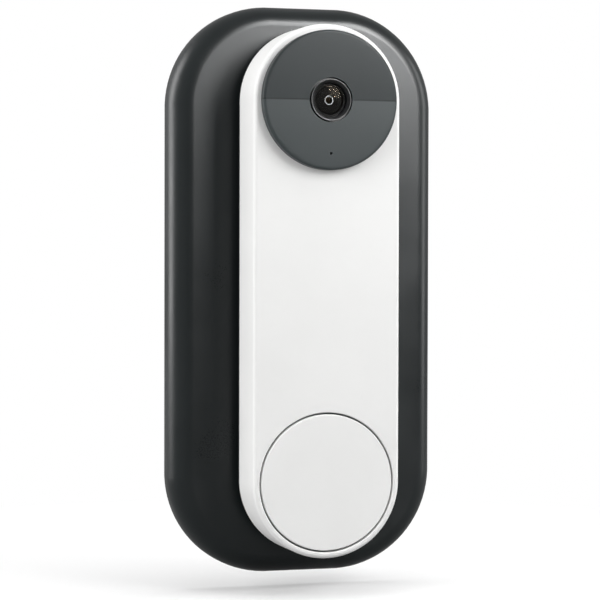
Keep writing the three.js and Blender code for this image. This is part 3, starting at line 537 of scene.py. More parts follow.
def metal(name, rgb, roughness, stretch, grain, relief):
    """Metal with fine lines along the way it was rolled, drawn or turned, and faint tarnish."""
    material, tree, where = blank(name)
    along = add(tree, "Mapping", {"Vector": where, "Scale": stretch}).outputs["Vector"]
    lines = add(
        tree, "TexNoise", {"Vector": along, "Scale": per(grain), "Detail": 3.0}
    ).outputs["Fac"]
    cloud = add(
        tree, "TexNoise", {"Vector": where, "Scale": per(2.5), "Detail": 4.0}
    ).outputs["Fac"]
    tarnished = add(
        tree,
        "Mix",
        {0: cloud, 6: rgba(shade(rgb, 1.1)), 7: rgba(shade(rgb, 0.78))},
        data_type="RGBA",
    ).outputs[2]
    rough = add(
        tree,
        "MapRange",
        {"Value": lines, "To Min": roughness - 0.1, "To Max": roughness + 0.12},
    ).outputs["Result"]
    bumped = add(
        tree, "Bump", {"Height": lines, "Distance": relief * MM, "Strength": 0.8}
    ).outputs["Normal"]
    surface = add(
        tree,
        "BsdfPrincipled",
        {"Base Color": tarnished, "Metallic": 1.0, "Roughness": rough, "Normal": bumped},
    )
    output(tree, surface.outputs["BSDF"])
    return material


def rubber(name, rgb, roughness, pore, relief, dust):
    """A soft moulding: dull, with fine pores and a bloom of dust on it."""
    material, tree, where = blank(name)
    pores = add(tree, "TexVoronoi", {"Vector": where, "Scale": per(pore)}).outputs["Distance"]
    cloud = add(
        tree, "TexNoise", {"Vector": where, "Scale": per(4.0), "Detail": 6.0}
    ).outputs["Fac"]
    dusty = add(
        tree,
        "Mix",
        {0: cloud, 6: rgba(rgb), 7: rgba(tuple(c + dust for c in rgb))},
        data_type="RGBA",
    ).outputs[2]
    rough = add(
        tree, "MapRange", {"Value": cloud, "To Min": roughness - 0.08, "To Max": roughness + 0.08}
    ).outputs["Result"]
    bumped = add(
        tree, "Bump", {"Height": pores, "Distance": relief * MM, "Strength": 1.0}
    ).outputs["Normal"]
    surface = add(
        tree,
        "BsdfPrincipled",
        {"Base Color": dusty, "Roughness": rough, "Normal": bumped, "IOR": 1.43},
    )
    output(tree, surface.outputs["BSDF"])
    return material


def coated_glass(name, tint, alpha, roughness, specular, glint):
    """Polished window glass over a black baffle: deep, with faint wiping marks in its gloss."""
    material, tree, where = blank(name)
    wiped = add(tree, "Mapping", {"Vector": where, "Scale": (1.0, 1.0, 6.0)}).outputs["Vector"]
    marks = add(
        tree, "TexNoise", {"Vector": wiped, "Scale": per(1.6), "Detail": 5.0}
    ).outputs["Fac"]
    rough = add(
        tree, "MapRange", {"Value": marks, "To Min": roughness, "To Max": roughness + 0.03}
    ).outputs["Result"]
    tinted = add(
        tree,
        "Mix",
        {0: marks, 6: rgba(tint), 7: rgba(shade(tint, 1.6))},
        data_type="RGBA",
    ).outputs[2]
    surface = add(
        tree,
        "BsdfPrincipled",
        {
            "Base Color": tinted,
            "Roughness": rough,
            "IOR": 1.45,
            "Specular IOR Level": specular,
            "Specular Tint": rgba(glint),
            "Alpha": alpha,
        },
    )
    output(tree, surface.outputs["BSDF"])
    return material


def soldered_board():
    """Glass-epoxy board under green solder resist, with tracks just showing through."""
    material, tree, where = blank("glass_epoxy_board")
    tracks = add(
        tree,
        "TexBrick",
        {
            "Vector": add(
                tree,
                "Mapping",
                {"Vector": where, "Rotation": (math.radians(90), 0.0, 0.0)},
            ).outputs["Vector"],
            "Color1": rgba(linear("#1a5637")),
            "Color2": rgba(linear("#1f6241")),
            "Mortar": rgba(linear("#123f28")),
            "Scale": per(1.0),
            "Mortar Size": 0.12,
            "Mortar Smooth": 0.4,
            "Brick Width": 2.6,
            "Row Height": 0.7,
        },
        offset=0.37,
    )
    weave = add(
        tree, "TexNoise", {"Vector": where, "Scale": per(0.4), "Detail": 2.0}
    ).outputs["Fac"]
    rough = add(
        tree, "MapRange", {"Value": weave, "To Min": 0.28, "To Max": 0.48}
    ).outputs["Result"]
    bumped = add(
        tree, "Bump", {"Height": tracks.outputs["Fac"], "Distance": 0.03 * MM}
    ).outputs["Normal"]
    surface = add(
        tree,
        "BsdfPrincipled",
        {"Base Color": tracks.outputs["Color"], "Roughness": rough, "Normal": bumped},
    )
    output(tree, surface.outputs["BSDF"])
    return material


def striped_film(name, rgb, stripe, pitch):
    """Thin glossy film with stripes under it, as copper in a ribbon or ink on a battery."""
    material, tree, where = blank(name)
    bands = add(
        tree,
        "TexWave",
        {"Vector": where, "Scale": per(pitch) / 20, "Distortion": 0.1},
        bands_direction="X",
    ).outputs["Fac"]
    sharp = add(
        tree, "MapRange", {"Value": bands, "From Min": 0.4, "From Max": 0.6}
    ).outputs["Result"]
    wrinkle = add(
        tree, "TexNoise", {"Vector": where, "Scale": per(6.0), "Detail": 3.0}
    ).outputs["Fac"]
    inked = add(
        tree, "Mix", {0: sharp, 6: rgba(rgb), 7: rgba(stripe)}, data_type="RGBA"
    ).outputs[2]
    rough = add(
        tree, "MapRange", {"Value": wrinkle, "To Min": 0.22, "To Max": 0.5}
    ).outputs["Result"]
    bumped = add(
        tree, "Bump", {"Height": wrinkle, "Distance": 0.15 * MM, "Strength": 0.7}
    ).outputs["Normal"]
    surface = add(
        tree,
        "BsdfPrincipled",
        {"Base Color": inked, "Roughness": rough, "Normal": bumped, "IOR": 1.6},
    )
    output(tree, surface.outputs["BSDF"])
    return material


def turned_acetal():
    """Black acetal, turned: fine rings round the lens that catch a line of light."""
    material, tree, where = blank("black_acetal_turned")
    centred = add(
        tree, "Mapping", {"Vector": where, "Location": (0.0, 0.0, -CAMERA_Z * MM)}
    ).outputs["Vector"]
    rings = add(
        tree,
        "TexWave",
        {"Vector": centred, "Scale": per(0.16) / 20, "Distortion": 0.3, "Detail": 1.0},
        wave_type="RINGS",
        rings_direction="Y",
    ).outputs["Fac"]
    rough = add(
        tree, "MapRange", {"Value": rings, "To Min": 0.34, "To Max": 0.46}
    ).outputs["Result"]
    cloud = add(
        tree, "TexNoise", {"Vector": where, "Scale": per(2.0), "Detail": 4.0}
    ).outputs["Fac"]
    black = tone("black")
    faded = add(
        tree,
        "Mix",
        {0: cloud, 6: rgba(black), 7: rgba(shade(black, 2.2))},
        data_type="RGBA",
    ).outputs[2]
    bumped = add(
        tree, "Bump", {"Height": rings, "Distance": 0.006 * MM, "Strength": 0.8}
    ).outputs["Normal"]
    surface = add(
        tree,
        "BsdfPrincipled",
        {"Base Color": faded, "Roughness": rough, "Normal": bumped, "IOR": 1.5},
    )
    output(tree, surface.outputs["BSDF"])
    return material


def charcoal_abs():
    """Charcoal ABS from a spark-eroded tool: a dark, even, slightly sparkling satin."""
    return moulded_plastic(
        "charcoal_abs_moulded", tone("plate"), 0.33, 0.34, 0.01, linear("#3a3e40"), 0.06, 0.28
    )


def white_pc_abs():
    """White PC/ABS, finely blasted: clean and soft, with no sharp reflection anywhere."""
    return moulded_plastic(
        "white_pc_abs_moulded", tone("housing"), 0.5, 0.22, 0.006, linear("#f4f4f2"), 0.012, 0.25
    )


def black_pc_abs_as_shade():
    """Near-black PC/ABS of the rear cover, its near-black partly painted shade: it reads as the
    shadow line behind the white shell.
    """
    return moulded_plastic(
        "black_pc_abs_moulded", tone("cover"), 0.5, 0.3, 0.012, linear("#36383a"), 0.06, 0.4
    )


def grey_polycarbonate():
    """Grey polycarbonate in two satin greys: the lighter grey below the valley is painted light,
    and the dark hairline along the valley is painted shade.
    """
    worn = linear("#6a6e70")
    return moulded_plastic(
        "grey_polycarbonate_moulded", tone("disc"), 0.36, 0.16, 0.003, worn, 0.02, 0.07,
        tone("disc_lower_painted_light"),
    )


def black_acetal():
    """Black acetal, moulded: dull, with enough gloss to show its edges."""
    return moulded_plastic(
        "black_acetal_moulded", tone("black"), 0.42, 0.25, 0.008, linear("#2a2b2d"), 0.08
    )


def filled_nylon():
    """Glass-filled nylon: matt, with a coarse flow grain."""
    return moulded_plastic(
        "filled_nylon_moulded", tone("inner"), 0.58, 0.5, 0.02, linear("#5c6063"), 0.12, 0.35
    )


def baffle_paint():
    """Matt black paint inside the lens: swallows light, so the window looks deep."""
    return moulded_plastic(
        "baffle_paint_sprayed", linear("#050505"), 0.7, 0.1, 0.004, linear("#101010"), 0.1, 0.12
    )


def chip_epoxy():
    """Moulded epoxy of the chips: flat black with a sandy grain."""
    return moulded_plastic(
        "chip_epoxy_moulded", linear("#18191a"), 0.55, 0.12, 0.006, linear("#2e2f31"), 0.08
    )


def smoked_acrylic():
    """Smoked acrylic, frosted: grey and soft, so the gap round the button isn't black."""
    return moulded_plastic(
        "smoked_acrylic_frosted", linear("#707577"), 0.4, 0.2, 0.004, linear("#8b9092"), 0.03
    )


def window_glass():
    """Glass with an anti-reflection coat: black and deep, with the lens just showing."""
    return coated_glass(
        "window_glass_coated", linear("#020303"), 0.25, 0.1, 0.12, linear("#fff0d0")
    )


def lens_element_glass():
    """The front lens: black behind, with the soft warm glint of its coating."""
    return coated_glass(
        "lens_element_coated", linear("#030303"), 1.0, 0.2, 0.25, linear("#ffd9a0")
    )


def pale_silicone():
    """Moulded silicone: pale, dull and a little dusty."""
    return rubber("silicone_moulded", linear("#bfc2c2"), 0.6, 0.25, 0.006, -0.05)


def nitrile_rubber():
    """Nitrile rubber: black and chalky."""
    return rubber("nitrile_rubber_moulded", linear("#131415"), 0.78, 0.3, 0.012, 0.02)


def open_cell_foam():
    """Open-cell polyurethane foam: deep pores half a millimetre across."""
    return rubber("polyurethane_foam_cut", linear("#1a1b1d"), 0.9, 0.5, 0.16, 0.03)


def zinc_plated_steel():
    """Zinc-plated steel: bright, with fine turning lines."""
    return metal("steel_zinc_plated", linear("#b6b9bc"), 0.32, (1.0, 8.0, 1.0), 0.5, 0.01)


def rolled_spring_steel():
    """Rolled spring steel: greyer, with lines along the leaf."""
    return metal("spring_steel_rolled", linear("#8d9093"), 0.34, (9.0, 1.0, 1.0), 0.6, 0.008)


def tinned_steel():
    """Tin plate: pale satin metal, slightly clouded."""
    return metal("steel_tin_plated", linear("#c4c6c7"), 0.38, (1.0, 1.0, 6.0), 0.4, 0.006)


def turned_brass():
    """Turned brass: warm, with rings from the tool."""
    return metal("brass_turned", linear("#b98f45"), 0.3, (1.0, 9.0, 1.0), 0.4, 0.01)


def battery_film():
    """Printed film shrunk over the battery's can: blue, glossy and slightly wrinkled."""
    blue = tone("battery")
    return striped_film("polyester_film_printed", blue, shade(blue, 1.12), 9.0)


def polyimide_film():
    """Polyimide film over copper: amber, with darker lines half a millimetre apart."""
    return striped_film("polyimide_film_laminated", linear("#a8651f"), linear("#8c4c12"), 0.5)


FINISHES = {
    "wall_plate": charcoal_abs,
    "white_housing": white_pc_abs,
    "dark_housing": black_pc_abs_as_shade,
    "camera_disc": grey_polycarbonate,
    "black_plastic": black_acetal,
    "inner_plastic": filled_nylon,
    "lens_glass": window_glass,
    "silicone": pale_silicone,
    "black_rubber": nitrile_rubber,
    "black_foam": open_cell_foam,
    "steel": zinc_plated_steel,
    "spring_steel": rolled_spring_steel,
    "tinned_steel": tinned_steel,
    "brass": turned_brass,
    "circuit_board": soldered_board,
    "chip_resin": chip_epoxy,
    "battery_can": battery_film,
    "flex_film": polyimide_film,
    "light_guide": smoked_acrylic,
}
made_finishes = {}


def finish_for(slot):
    """The finish of a slot in the record, made the first time it's wanted."""
    if slot not in made_finishes:
        made_finishes[slot] = FINISHES[slot]()
    return made_finishes[slot]


# ---- Pieces ----


# Wall plate, in millimetres. Depths behind its back and past its front make sure of a cut.
BEHIND = -2
PAST = 2
MIDDLE_PAD = 17
CABLE_WAY_WALLS = 4.4
WALL_BOSS_RADIUS = 6.6
WALL_HOLE_RADIUS = 2.3
WALL_HEAD_RADIUS = 4.4
WALL_HEAD_DEPTH = 2.8
BRACKET_BOSS_RADIUS = 4.3
BRACKET_PILOT_RADIUS = 1.3
BRACKET_PILOT_FLOOR = 2

# Housing, in millimetres.
SHELL_BOSS_RADIUS = 2.6
SHELL_BOSS_BACK = 17.7
SHELL_BORE_RADIUS = 1.2
SHELL_BORE_BACK = 17
SHELL_BORE_END = 3
DISC_LAP = 1.35
SLOT_PITCH = 2.4
SLOT_WIDTH = 1.2
SLOT_REACH = 6
SLOT_END = 0.7

# Rear cover, in millimetres.
PLUG_DEPTH = 1.8
POCKET_ROOM = 0.6
UNDERCUT_LIP = 0.9
HOOK_SLOT_WIDTH = 6
HOOK_SLOT_HEIGHT = 7
HOOK_SLOT_APART = 6
CATCH_SLOT_WIDTH = 9.2
CATCH_SLOT_HEIGHT = 6
KEY_RADIUS = 0.9
KEY_LENGTH = 12
KEY_LAP = 0.4
SCREW_HOLE_RADIUS = 1.3
SCREW_HEAD_RADIUS = 2.1
SCREW_HEAD_DEPTH = 1.6
TERMINAL_HOLE_RADIUS = 2.9
RESET_HOLE_RADIUS = 1.7
SOCKET_HOLE_HEIGHT = 3.9
SOCKET_HOLE_CORNER = 1.6
BOSS_ROOM_RADIUS = 2.9


def plate_body(bm):
    """The plate's outside: flat back with a broken edge, straight side, long rounded front edge."""
    corner = size("plate_corner")
    edge = rounding(size("plate_edge_in"), size("plate_edge_depth"), 14)
    steps = [(0.5, 0.0), (0.12, 0.14), (0.0, 0.5)]
    steps += [(inset, PLATE.front - short) for inset, short in edge]
    loft(
        bm,
        [((PLATE.right - i, PLATE.top - i, corner - i), depth) for i, depth in steps],
    )


def plate_hollow(bm):
    """The space behind the plate's skin, before the ribs stand in it."""
    wall = size("plate_wall")
    shape = (PLATE.right - wall, PLATE.top - wall, size("plate_corner") - wall)
    floor = PLATE.front - size("plate_skin")
    loft(bm, [(shape, -1.0), (shape, floor - 0.6), (tuple(s - 0.6 for s in shape), floor)])


def wall_hole_places():
    """Where the wall screws go, as x and z."""
    x, z = size("wall_hole_x"), END_Z - size("wall_hole_in")
    return [(side * x, end * z) for side in (-1, 1) for end in (-1, 1)]


def make_wall_plate():
    """Ribbed behind, smooth in front, with its screw bosses and the way for the cable."""
    plate = solid("plate", plate_body)
    hollow = solid("hollow", plate_hollow)
    pitch, rib, depth = size("rib_pitch"), size("rib_width"), PLATE.front
    cable_z = middle("terminal_post_left")[1]
    screw_z = middle("bracket_screw_upper")[1]
    wide, tall = size("cable_width"), size("cable_height")
    across = range(-int(PLATE.right // pitch), int(PLATE.right // pitch) + 1)
    up = range(-int(PLATE.top // pitch), int(PLATE.top // pitch) + 1)

    def upright_ribs(bm):
        for step in across:
            block(bm, rib, 3 * PLATE.top, BEHIND, depth, step * pitch)

    def level_ribs(bm):
        for step in up:
            block(bm, 3 * PLATE.right, rib, BEHIND, depth, 0, step * pitch)

    def pads(bm):
        block(bm, MIDDLE_PAD, MIDDLE_PAD, BEHIND, depth)
        block(bm, wide + CABLE_WAY_WALLS, tall + CABLE_WAY_WALLS, BEHIND, depth, 0, cable_z)
        for x, z in wall_hole_places():
            peg(bm, WALL_BOSS_RADIUS, BEHIND, depth, x, z)

    def screw_bosses(bm):
        for end in (-1, 1):
            peg(bm, BRACKET_BOSS_RADIUS, BEHIND, depth, 0, end * screw_z)

    for shape in (upright_ribs, level_ribs, pads, screw_bosses):
        combine(hollow, solid("kept", shape))
    combine(plate, hollow)

    def openings(bm):
        block(bm, wide, tall, BEHIND, depth + PAST, 0, cable_z)
        for x, z in wall_hole_places():
            peg(bm, WALL_HOLE_RADIUS, BEHIND, depth + PAST, x, z)
        for end in (-1, 1):
            peg(bm, BRACKET_PILOT_RADIUS, BRACKET_PILOT_FLOOR, depth + PAST, 0, end * screw_z)

    def head_recesses(bm):
        for x, z in wall_hole_places():
            peg(bm, WALL_HEAD_RADIUS, depth - WALL_HEAD_DEPTH, depth + PAST, x, z)

    combine(plate, solid("openings", openings))
    combine(plate, solid("recesses", head_recesses))
    finish(plate, "wall_side", "wall_plate", [finish_for("wall_plate")], "wall_plate")


def shell_body(bm):
    """A deep tray open towards the wall, with a rounded front edge."""
    wall, fillet = size("shell_wall"), size("front_fillet")
    inside = SHELL.front - wall
    back = SHELL.back
    edge = [(inset, SHELL.front - short) for inset, short in rounding(fillet, fillet, 7)]
    mouth = [(0.0, back + 0.1), (0.1, back), (wall, back + FALL)]
    inner_corner = [(wall, inside - 0.5), (wall + 0.15, inside - 0.15), (wall + 0.5, inside)]
    steps = edge[::-1] + mouth + inner_corner
    loft(bm, [(housing_outline(inset), depth) for inset, depth in steps])


def speaker_slots(bm):
    """Five short slots in the lower end."""
    duct = extent("speaker_duct")
    for step in (-2, -1, 0, 1, 2):
        x = step * SLOT_PITCH
        back, front = duct.back + SLOT_END, duct.front - SLOT_END
        block(bm, SLOT_WIDTH, SLOT_REACH, back, front, x, -HALF_HEIGHT + 2)


def make_front_shell():
    """The white housing with its openings for the camera disc and the button."""
    shell = solid("shell", shell_body)
    inside = SHELL.front - size("shell_wall")
    button_hole = CAP.right + size("button_gap")
    disc_hole = DISC.right - DISC_LAP

    def bosses(bm):
        for x, z in SCREWS:
            peg(bm, SHELL_BOSS_RADIUS, SHELL_BOSS_BACK, inside + 0.5, x, z)

    def bores(bm):
        for x, z in SCREWS:
            peg(bm, SHELL_BORE_RADIUS, SHELL_BORE_BACK, inside - SHELL_BORE_END, x, z)

    def openings(bm):
        peg(bm, disc_hole, inside - 2, SHELL.front + 1, 0, CAMERA_Z)

    def button_opening(bm):
        profile = [
            (0, inside - 2, 0),
            (button_hole, inside - 2, 0),
            (button_hole, SHELL.front - 0.25, 0),
            (button_hole + 0.08, SHELL.front - 0.1, 0),
            (button_hole + 0.26, SHELL.front + 0.01, 0),
            (button_hole + 0.26, SHELL.front + 1, 0),
            (0, SHELL.front + 1, 0),
        ]
        turn(bm, profile, 0, BUTTON_Z, WIDE_TURN_STEPS)

    combine(shell, solid("bosses", bosses), "UNION")
    for shape in (bores, openings, button_opening, speaker_slots):
        combine(shell, solid("cutter", shape))
    finish(shell, "doorbell", "white_housing", [finish_for("white_housing")], "front_shell")


def cover_body(bm):
    """The rear cover's profile, from the face inside the housing round to the bracket's pocket."""
    tuck = size("cover_edge_in")
    lip_front, plug_front = COVER.front, COVER.front - PLUG_DEPTH
    side = SHELL.back - 0.2
    pocket = BRACKET.front + POCKET_ROOM
    edge = rounding(tuck, side - COVER.back - 0.2, 10)
    lip = [(3.7, plug_front), (3.7, lip_front - FALL), (2.5, lip_front), (2.5, plug_front)]
    plug = [(1.8, plug_front - FALL), (1.8, side), (0.0, side - FALL)]
    rounded = [(inset, COVER.back + short) for inset, short in edge]
    inset = HALF_WIDTH - BRACKET.right - POCKET_ROOM
    pocket_wall = [(inset - 0.2, COVER.back + FALL), (inset, COVER.back + 0.2), (inset, pocket)]
    steps = lip + plug + rounded + pocket_wall
    loft(bm, [(housing_outline(inset), depth) for inset, depth in steps])


def make_rear_cover():
    """The dark cover behind, whose near-black is partly painted shade, with its pocket, hook slots,
    screw holes, socket and key hole.
    """
    cover = solid("cover", cover_body)
    back, pocket, inside = COVER.back, BRACKET.front + POCKET_ROOM, COVER.front - PLUG_DEPTH
    catch = extent("release_catch")
    undercut = back + UNDERCUT_LIP
    socket = extent("usb_socket")
    reset_x, reset_z = middle("reset_button")
    usb_z = (socket.bottom + socket.top) / 2

    def slots(bm):
        front = pocket + NEAR
        hook_z = BRACKET.top + POCKET_ROOM - HOOK_SLOT_HEIGHT / 2
        catch_z = catch.bottom - POCKET_ROOM + CATCH_SLOT_HEIGHT / 2
        for side in (-1, 1):
            x = side * HOOK_SLOT_APART
            block(bm, HOOK_SLOT_WIDTH, HOOK_SLOT_HEIGHT, undercut, front, x, hook_z)
        block(bm, CATCH_SLOT_WIDTH, CATCH_SLOT_HEIGHT, undercut, front, 0, catch_z)

    def key_way(bm):
        depth = (catch.back + catch.front) / 2
        top = catch.bottom + KEY_LAP
        rod(bm, KEY_RADIUS, KEY_LENGTH, Matrix.Translation((0, -depth, top - KEY_LENGTH / 2)))

    def holes(bm):
        for x, z in SCREWS:
            peg(bm, SCREW_HOLE_RADIUS, back - 1, inside + 1, x, z)
        for x, z in TERMINALS:
            peg(bm, TERMINAL_HOLE_RADIUS, pocket - 1, inside + 1, x, z)
        peg(bm, RESET_HOLE_RADIUS, pocket - 1, inside + 1, reset_x, reset_z)

    def socket_hole(bm):
        wide = socket.right - socket.left + POCKET_ROOM
        block(bm, wide, SOCKET_HOLE_HEIGHT, pocket - 1, inside + 1, 0, usb_z)
        upright = [edge for edge in bm.edges if abs(edge.verts[0].co.y - edge.verts[1].co.y) > 1]
        soften(bm, upright, SOCKET_HOLE_CORNER, 6)

    def head_recesses(bm):
        for x, z in SCREWS:
            peg(bm, SCREW_HEAD_RADIUS, back - 1, back + SCREW_HEAD_DEPTH, x, z)

    def boss_clearances(bm):
        for x, z in SCREWS:
            peg(bm, BOSS_ROOM_RADIUS, inside, inside + 3, x, z)

    for shape in (slots, key_way, holes, socket_hole, head_recesses, boss_clearances):
        combine(cover, solid("cutter", shape))
    finish(cover, "doorbell", "dark_housing", [finish_for("dark_housing")], "rear_cover")


def make_camera_disc():
    """The grey disc: rounded rim, a shallow valley across it and a microphone hole."""
    front, seat, back = DISC.front, SHELL.front + 0.1, DISC.back
    outer, skirt = DISC.right, DISC.right - 1.65
    hole = bezel_radius() + size("bezel_gap")
    inside = front - size("disc_skin")
    mic_z = middle("microphone")[1]

    def body(bm):
        profile = [
            (hole, front, 0.12),
            (outer, front, size("disc_edge")),
            (outer, seat, 0.08),
            (skirt, seat, 0),
            (skirt, back, 0),
            (skirt - 1, back, 0),
            (skirt - 1, inside, 0),
            (hole, inside, 0),
        ]
        turn(bm, profile, 0, CAMERA_Z, WIDE_TURN_STEPS, closed=True)

    def valley(bm):
        reach = outer
        levels = [0, 0.25, -0.25, 1.2, -1.2, 3, -3, 5.5, -5.5, 8.5, -8.5, 12, -12, 16, -16]
        for level in levels:
            bmesh.ops.bisect_plane(
                bm,
                geom=bm.verts[:] + bm.edges[:] + bm.faces[:],
                plane_co=(0, 0, CAMERA_Z + level),
                plane_no=(0, 0, 1),
            )
        for vert in bm.verts:
            if -vert.co.y > inside + 0.2:
                away = min(1.0, abs(vert.co.z - CAMERA_Z) / reach)
                vert.co.y += size("disc_valley") * (1 - away) ** 2

    disc = solid("disc", body)
    combine(disc, solid("mic_hole", lambda bm: peg(bm, 0.45, inside - 1, front + 1, 0, mic_z)))
    rework(disc, valley)
    finish(disc, "doorbell", "camera_disc", [finish_for("camera_disc")], "camera_disc", crease=24)


def bezel_radius():
    """The radius of the bezel's visible rim."""
    return WINDOW.right + size("bezel_width")


RETAINER = 0.34  # width of the bright ring that holds the small lens, in millimetres


def mark_retainer(bm):
    """Gives the ring round the lens opening the second of the barrel's finishes."""
    reach = size("aperture") / 2 + NEAR
    for face in bm.faces:
        at = face.calc_center_median()
        near_front = -at.y > BARREL.front - 0.11
        if near_front and math.hypot(at.x, at.z - CAMERA_Z) < reach:
            face.material_index = 1


def make_lens():
    """Bezel, domed window and the barrel behind it with its small bright lens opening."""
    rim_radius, flange = bezel_radius(), BEZEL.right
    front, back = BEZEL.front, BEZEL.back
    window = WINDOW.right
    seat, bore = window + 0.1, BARREL.right + 0.3
    shelf = WINDOW.back - 0.55
    window_rim = WINDOW.front - size("window_dome")

    def bezel(bm):
        profile = [
            (seat, front - 0.9, 0.1),
            (rim_radius - 0.25, front, 0.08),
            (rim_radius, front, 0.08),
            (rim_radius, DISC.front - 1.3, 0),
            (flange, DISC.front - 1.3, 0),
            (flange, back, 0),
            (bore, back, 0),
            (bore, shelf, 0),
            (seat, shelf, 0),
        ]
        turn(bm, profile, 0, CAMERA_Z, TURN_STEPS, closed=True)

    def glass(bm):
        dome = size("window_dome")
        rise = [math.pi / 2 * step / 12 for step in range(13)]
        profile = [(window * math.sin(a), window_rim + dome * math.cos(a), 0) for a in rise]
        profile += [(window, WINDOW.back, 0), (0, WINDOW.back, 0)]
        turn(bm, profile, 0, CAMERA_Z, TURN_STEPS)

    def barrel(bm):
        opening = size("aperture") / 2 - RETAINER
        front_face, wall = BARREL.front, BARREL.right - 0.8
        profile = [
            (opening, front_face - 0.8, 0),
            (opening, front_face - 0.1, 0),
            (opening + 0.1, front_face, 0),
            (opening + RETAINER, front_face, 0),
            (opening + RETAINER + 0.05, front_face - 0.12, 0),
            (BARREL.right, front_face - 0.12, 0.1),
            (BARREL.right, BARREL.back, 0),
            (wall, BARREL.back, 0),
            (wall, front_face - 0.8, 0),
        ]
        turn(bm, profile, 0, CAMERA_Z, TURN_STEPS, closed=True)

    def element(bm):
        lens = extent("front_lens")
        rise = [math.pi / 2 * step / 8 for step in range(9)]
        radius, dome = lens.right, 0.45
        profile = [
            (radius * math.sin(a), lens.front - dome + dome * math.cos(a), 0) for a in rise
        ]
        profile += [(radius, lens.back, 0), (0, lens.back, 0)]
        turn(bm, profile, 0, CAMERA_Z, TURN_STEPS)

    turned_finish = turned_acetal()
    glass_finish = finish_for("lens_glass")
    finish(solid("bezel", bezel), "doorbell", "black_plastic", [turned_finish], "lens_bezel")
    finish(solid("window", glass), "doorbell", "lens_glass", [glass_finish], "lens_window")
    tube = solid("barrel", barrel)
    rework(tube, mark_retainer)
    baffle_finishes = [baffle_paint(), finish_for("spring_steel")]
    finish(tube, "doorbell", "black_plastic", baffle_finishes, "lens_barrel")
    lens_finish = lens_element_glass()
    finish(solid("element", element), "doorbell", "lens_glass", [lens_finish], "front_lens")


def make_button():
    """The white push button, the light guide under its rim and the skirt that seals it."""

    def cap(bm):
        post = 1.9
        back = CAP.front - 1.8
        profile = [
            (0, CAP.front, 0),
            (CAP.right, CAP.front, size("cap_edge")),
            (CAP.right, back, 0.1),
            (post, back, 0),
            (post, CAP.back, 0.1),
            (0, CAP.back, 0),
        ]
        turn(bm, profile, 0, BUTTON_Z, WIDE_TURN_STEPS)

    def guide(bm):
        inner = GUIDE.right - 1.1
        profile = [
            (inner, GUIDE.front, 0.15),
            (GUIDE.right, GUIDE.front, 0.15),
            (GUIDE.right, GUIDE.back, 0.1),
            (inner, GUIDE.back, 0.1),
        ]
        turn(bm, profile, 0, BUTTON_Z, WIDE_TURN_STEPS, closed=True)

    def skirt(bm):
        crown, shoulder, knee, inner_foot = 9, 10.4, 13, 11.8
        wall = 0.9
        profile = [
            (crown, SKIRT.front, 0.2),
            (shoulder, SKIRT.front, 0.4),
            (knee, SKIRT.back + 1.2, 0.4),
            (SKIRT.right, SKIRT.back + 0.8, 0.2),
            (SKIRT.right, SKIRT.back, 0),
            (inner_foot, SKIRT.back, 0.2),
            (crown, SKIRT.front - wall, 0.2),
        ]
        turn(bm, profile, 0, BUTTON_Z, closed=True)

    seal = solid("skirt", skirt)
    finish(seal, "doorbell", "silicone", [finish_for("silicone")], "button_seal")
    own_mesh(seal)
    white, smoked = finish_for("white_housing"), finish_for("light_guide")
    finish(solid("cap", cap), "button", "white_housing", [white], "button_cap")
    finish(solid("guide", guide), "doorbell", "light_guide", [smoked], "light_ring")


def dress_nodes():
    """Gives every CAD node that still shows the finish of its slot."""
    for row in frame["record"]["subparts"]:
        node = frame["nodes"][row["node"]]
        if not node.hide_render:
            for place in node.material_slots:
                place.material = finish_for(row["material_slot"])


# ---- Stage ----

FLOOR_BELOW = 4.9  # the floor lies this far under the plate, in millimetres
FLOOR_REACH = 6.0


def make_floor():
    """A wide pale floor under the object."""
    bm = bmesh.new()
    place = Matrix.Translation((0, 0, (PLATE.bottom - FLOOR_BELOW) * MM))
    bmesh.ops.create_grid(bm, x_segments=1, y_segments=1, size=FLOOR_REACH, matrix=place)
    mesh = bpy.data.meshes.new("floor")
    bm.to_mesh(mesh)
    bm.free()
    floor = bpy.data.objects.new("floor", mesh)
    bpy.context.scene.collection.objects.link(floor)
    mesh.materials.append(paper_floor())


def paper_floor():
    """White paper that fades into the surroundings and throws little light back up."""
    material, tree, where = blank("paper_floor")
    fibre = add(
        tree, "TexNoise", {"Vector": where, "Scale": per(1.5), "Detail": 3.0}
    ).outputs["Fac"]
    white = add(
        tree,
        "Mix",
        {0: fibre, 6: rgba((0.93, 0.93, 0.93)), 7: rgba((0.9, 0.9, 0.9))},
        data_type="RGBA",
    ).outputs[2]
    paper = add(tree, "BsdfDiffuse", {"Color": white})
    glow = add(tree, "Emission", {"Color": rgba((1.0, 1.0, 1.0)), "Strength": 1.0})
    flat = add(tree, "Mapping", {"Vector": where, "Scale": (1.0, 1.0, 0.0)}).outputs["Vector"]
    away = add(tree, "VectorMath", {0: flat}, operation="LENGTH").outputs["Value"]
    fade = add(
        tree,
        "MapRange",
        {"Value": away, "From Min": 0.06, "From Max": 0.24, "To Min": 0.15, "To Max": 1.0},
    ).outputs["Result"]
    seen = add(
        tree, "MixShader", {0: fade, 1: paper.outputs["BSDF"], 2: glow.outputs["Emission"]}
    ).outputs["Shader"]
    dim = add(tree, "BsdfDiffuse", {"Color": rgba((0.3, 0.3, 0.3))}).outputs["BSDF"]
    looked_at = add(tree, "LightPath").outputs["Is Camera Ray"]
    output(tree, add(tree, "MixShader", {0: looked_at, 1: dim, 2: seen}).outputs["Shader"])
    return material


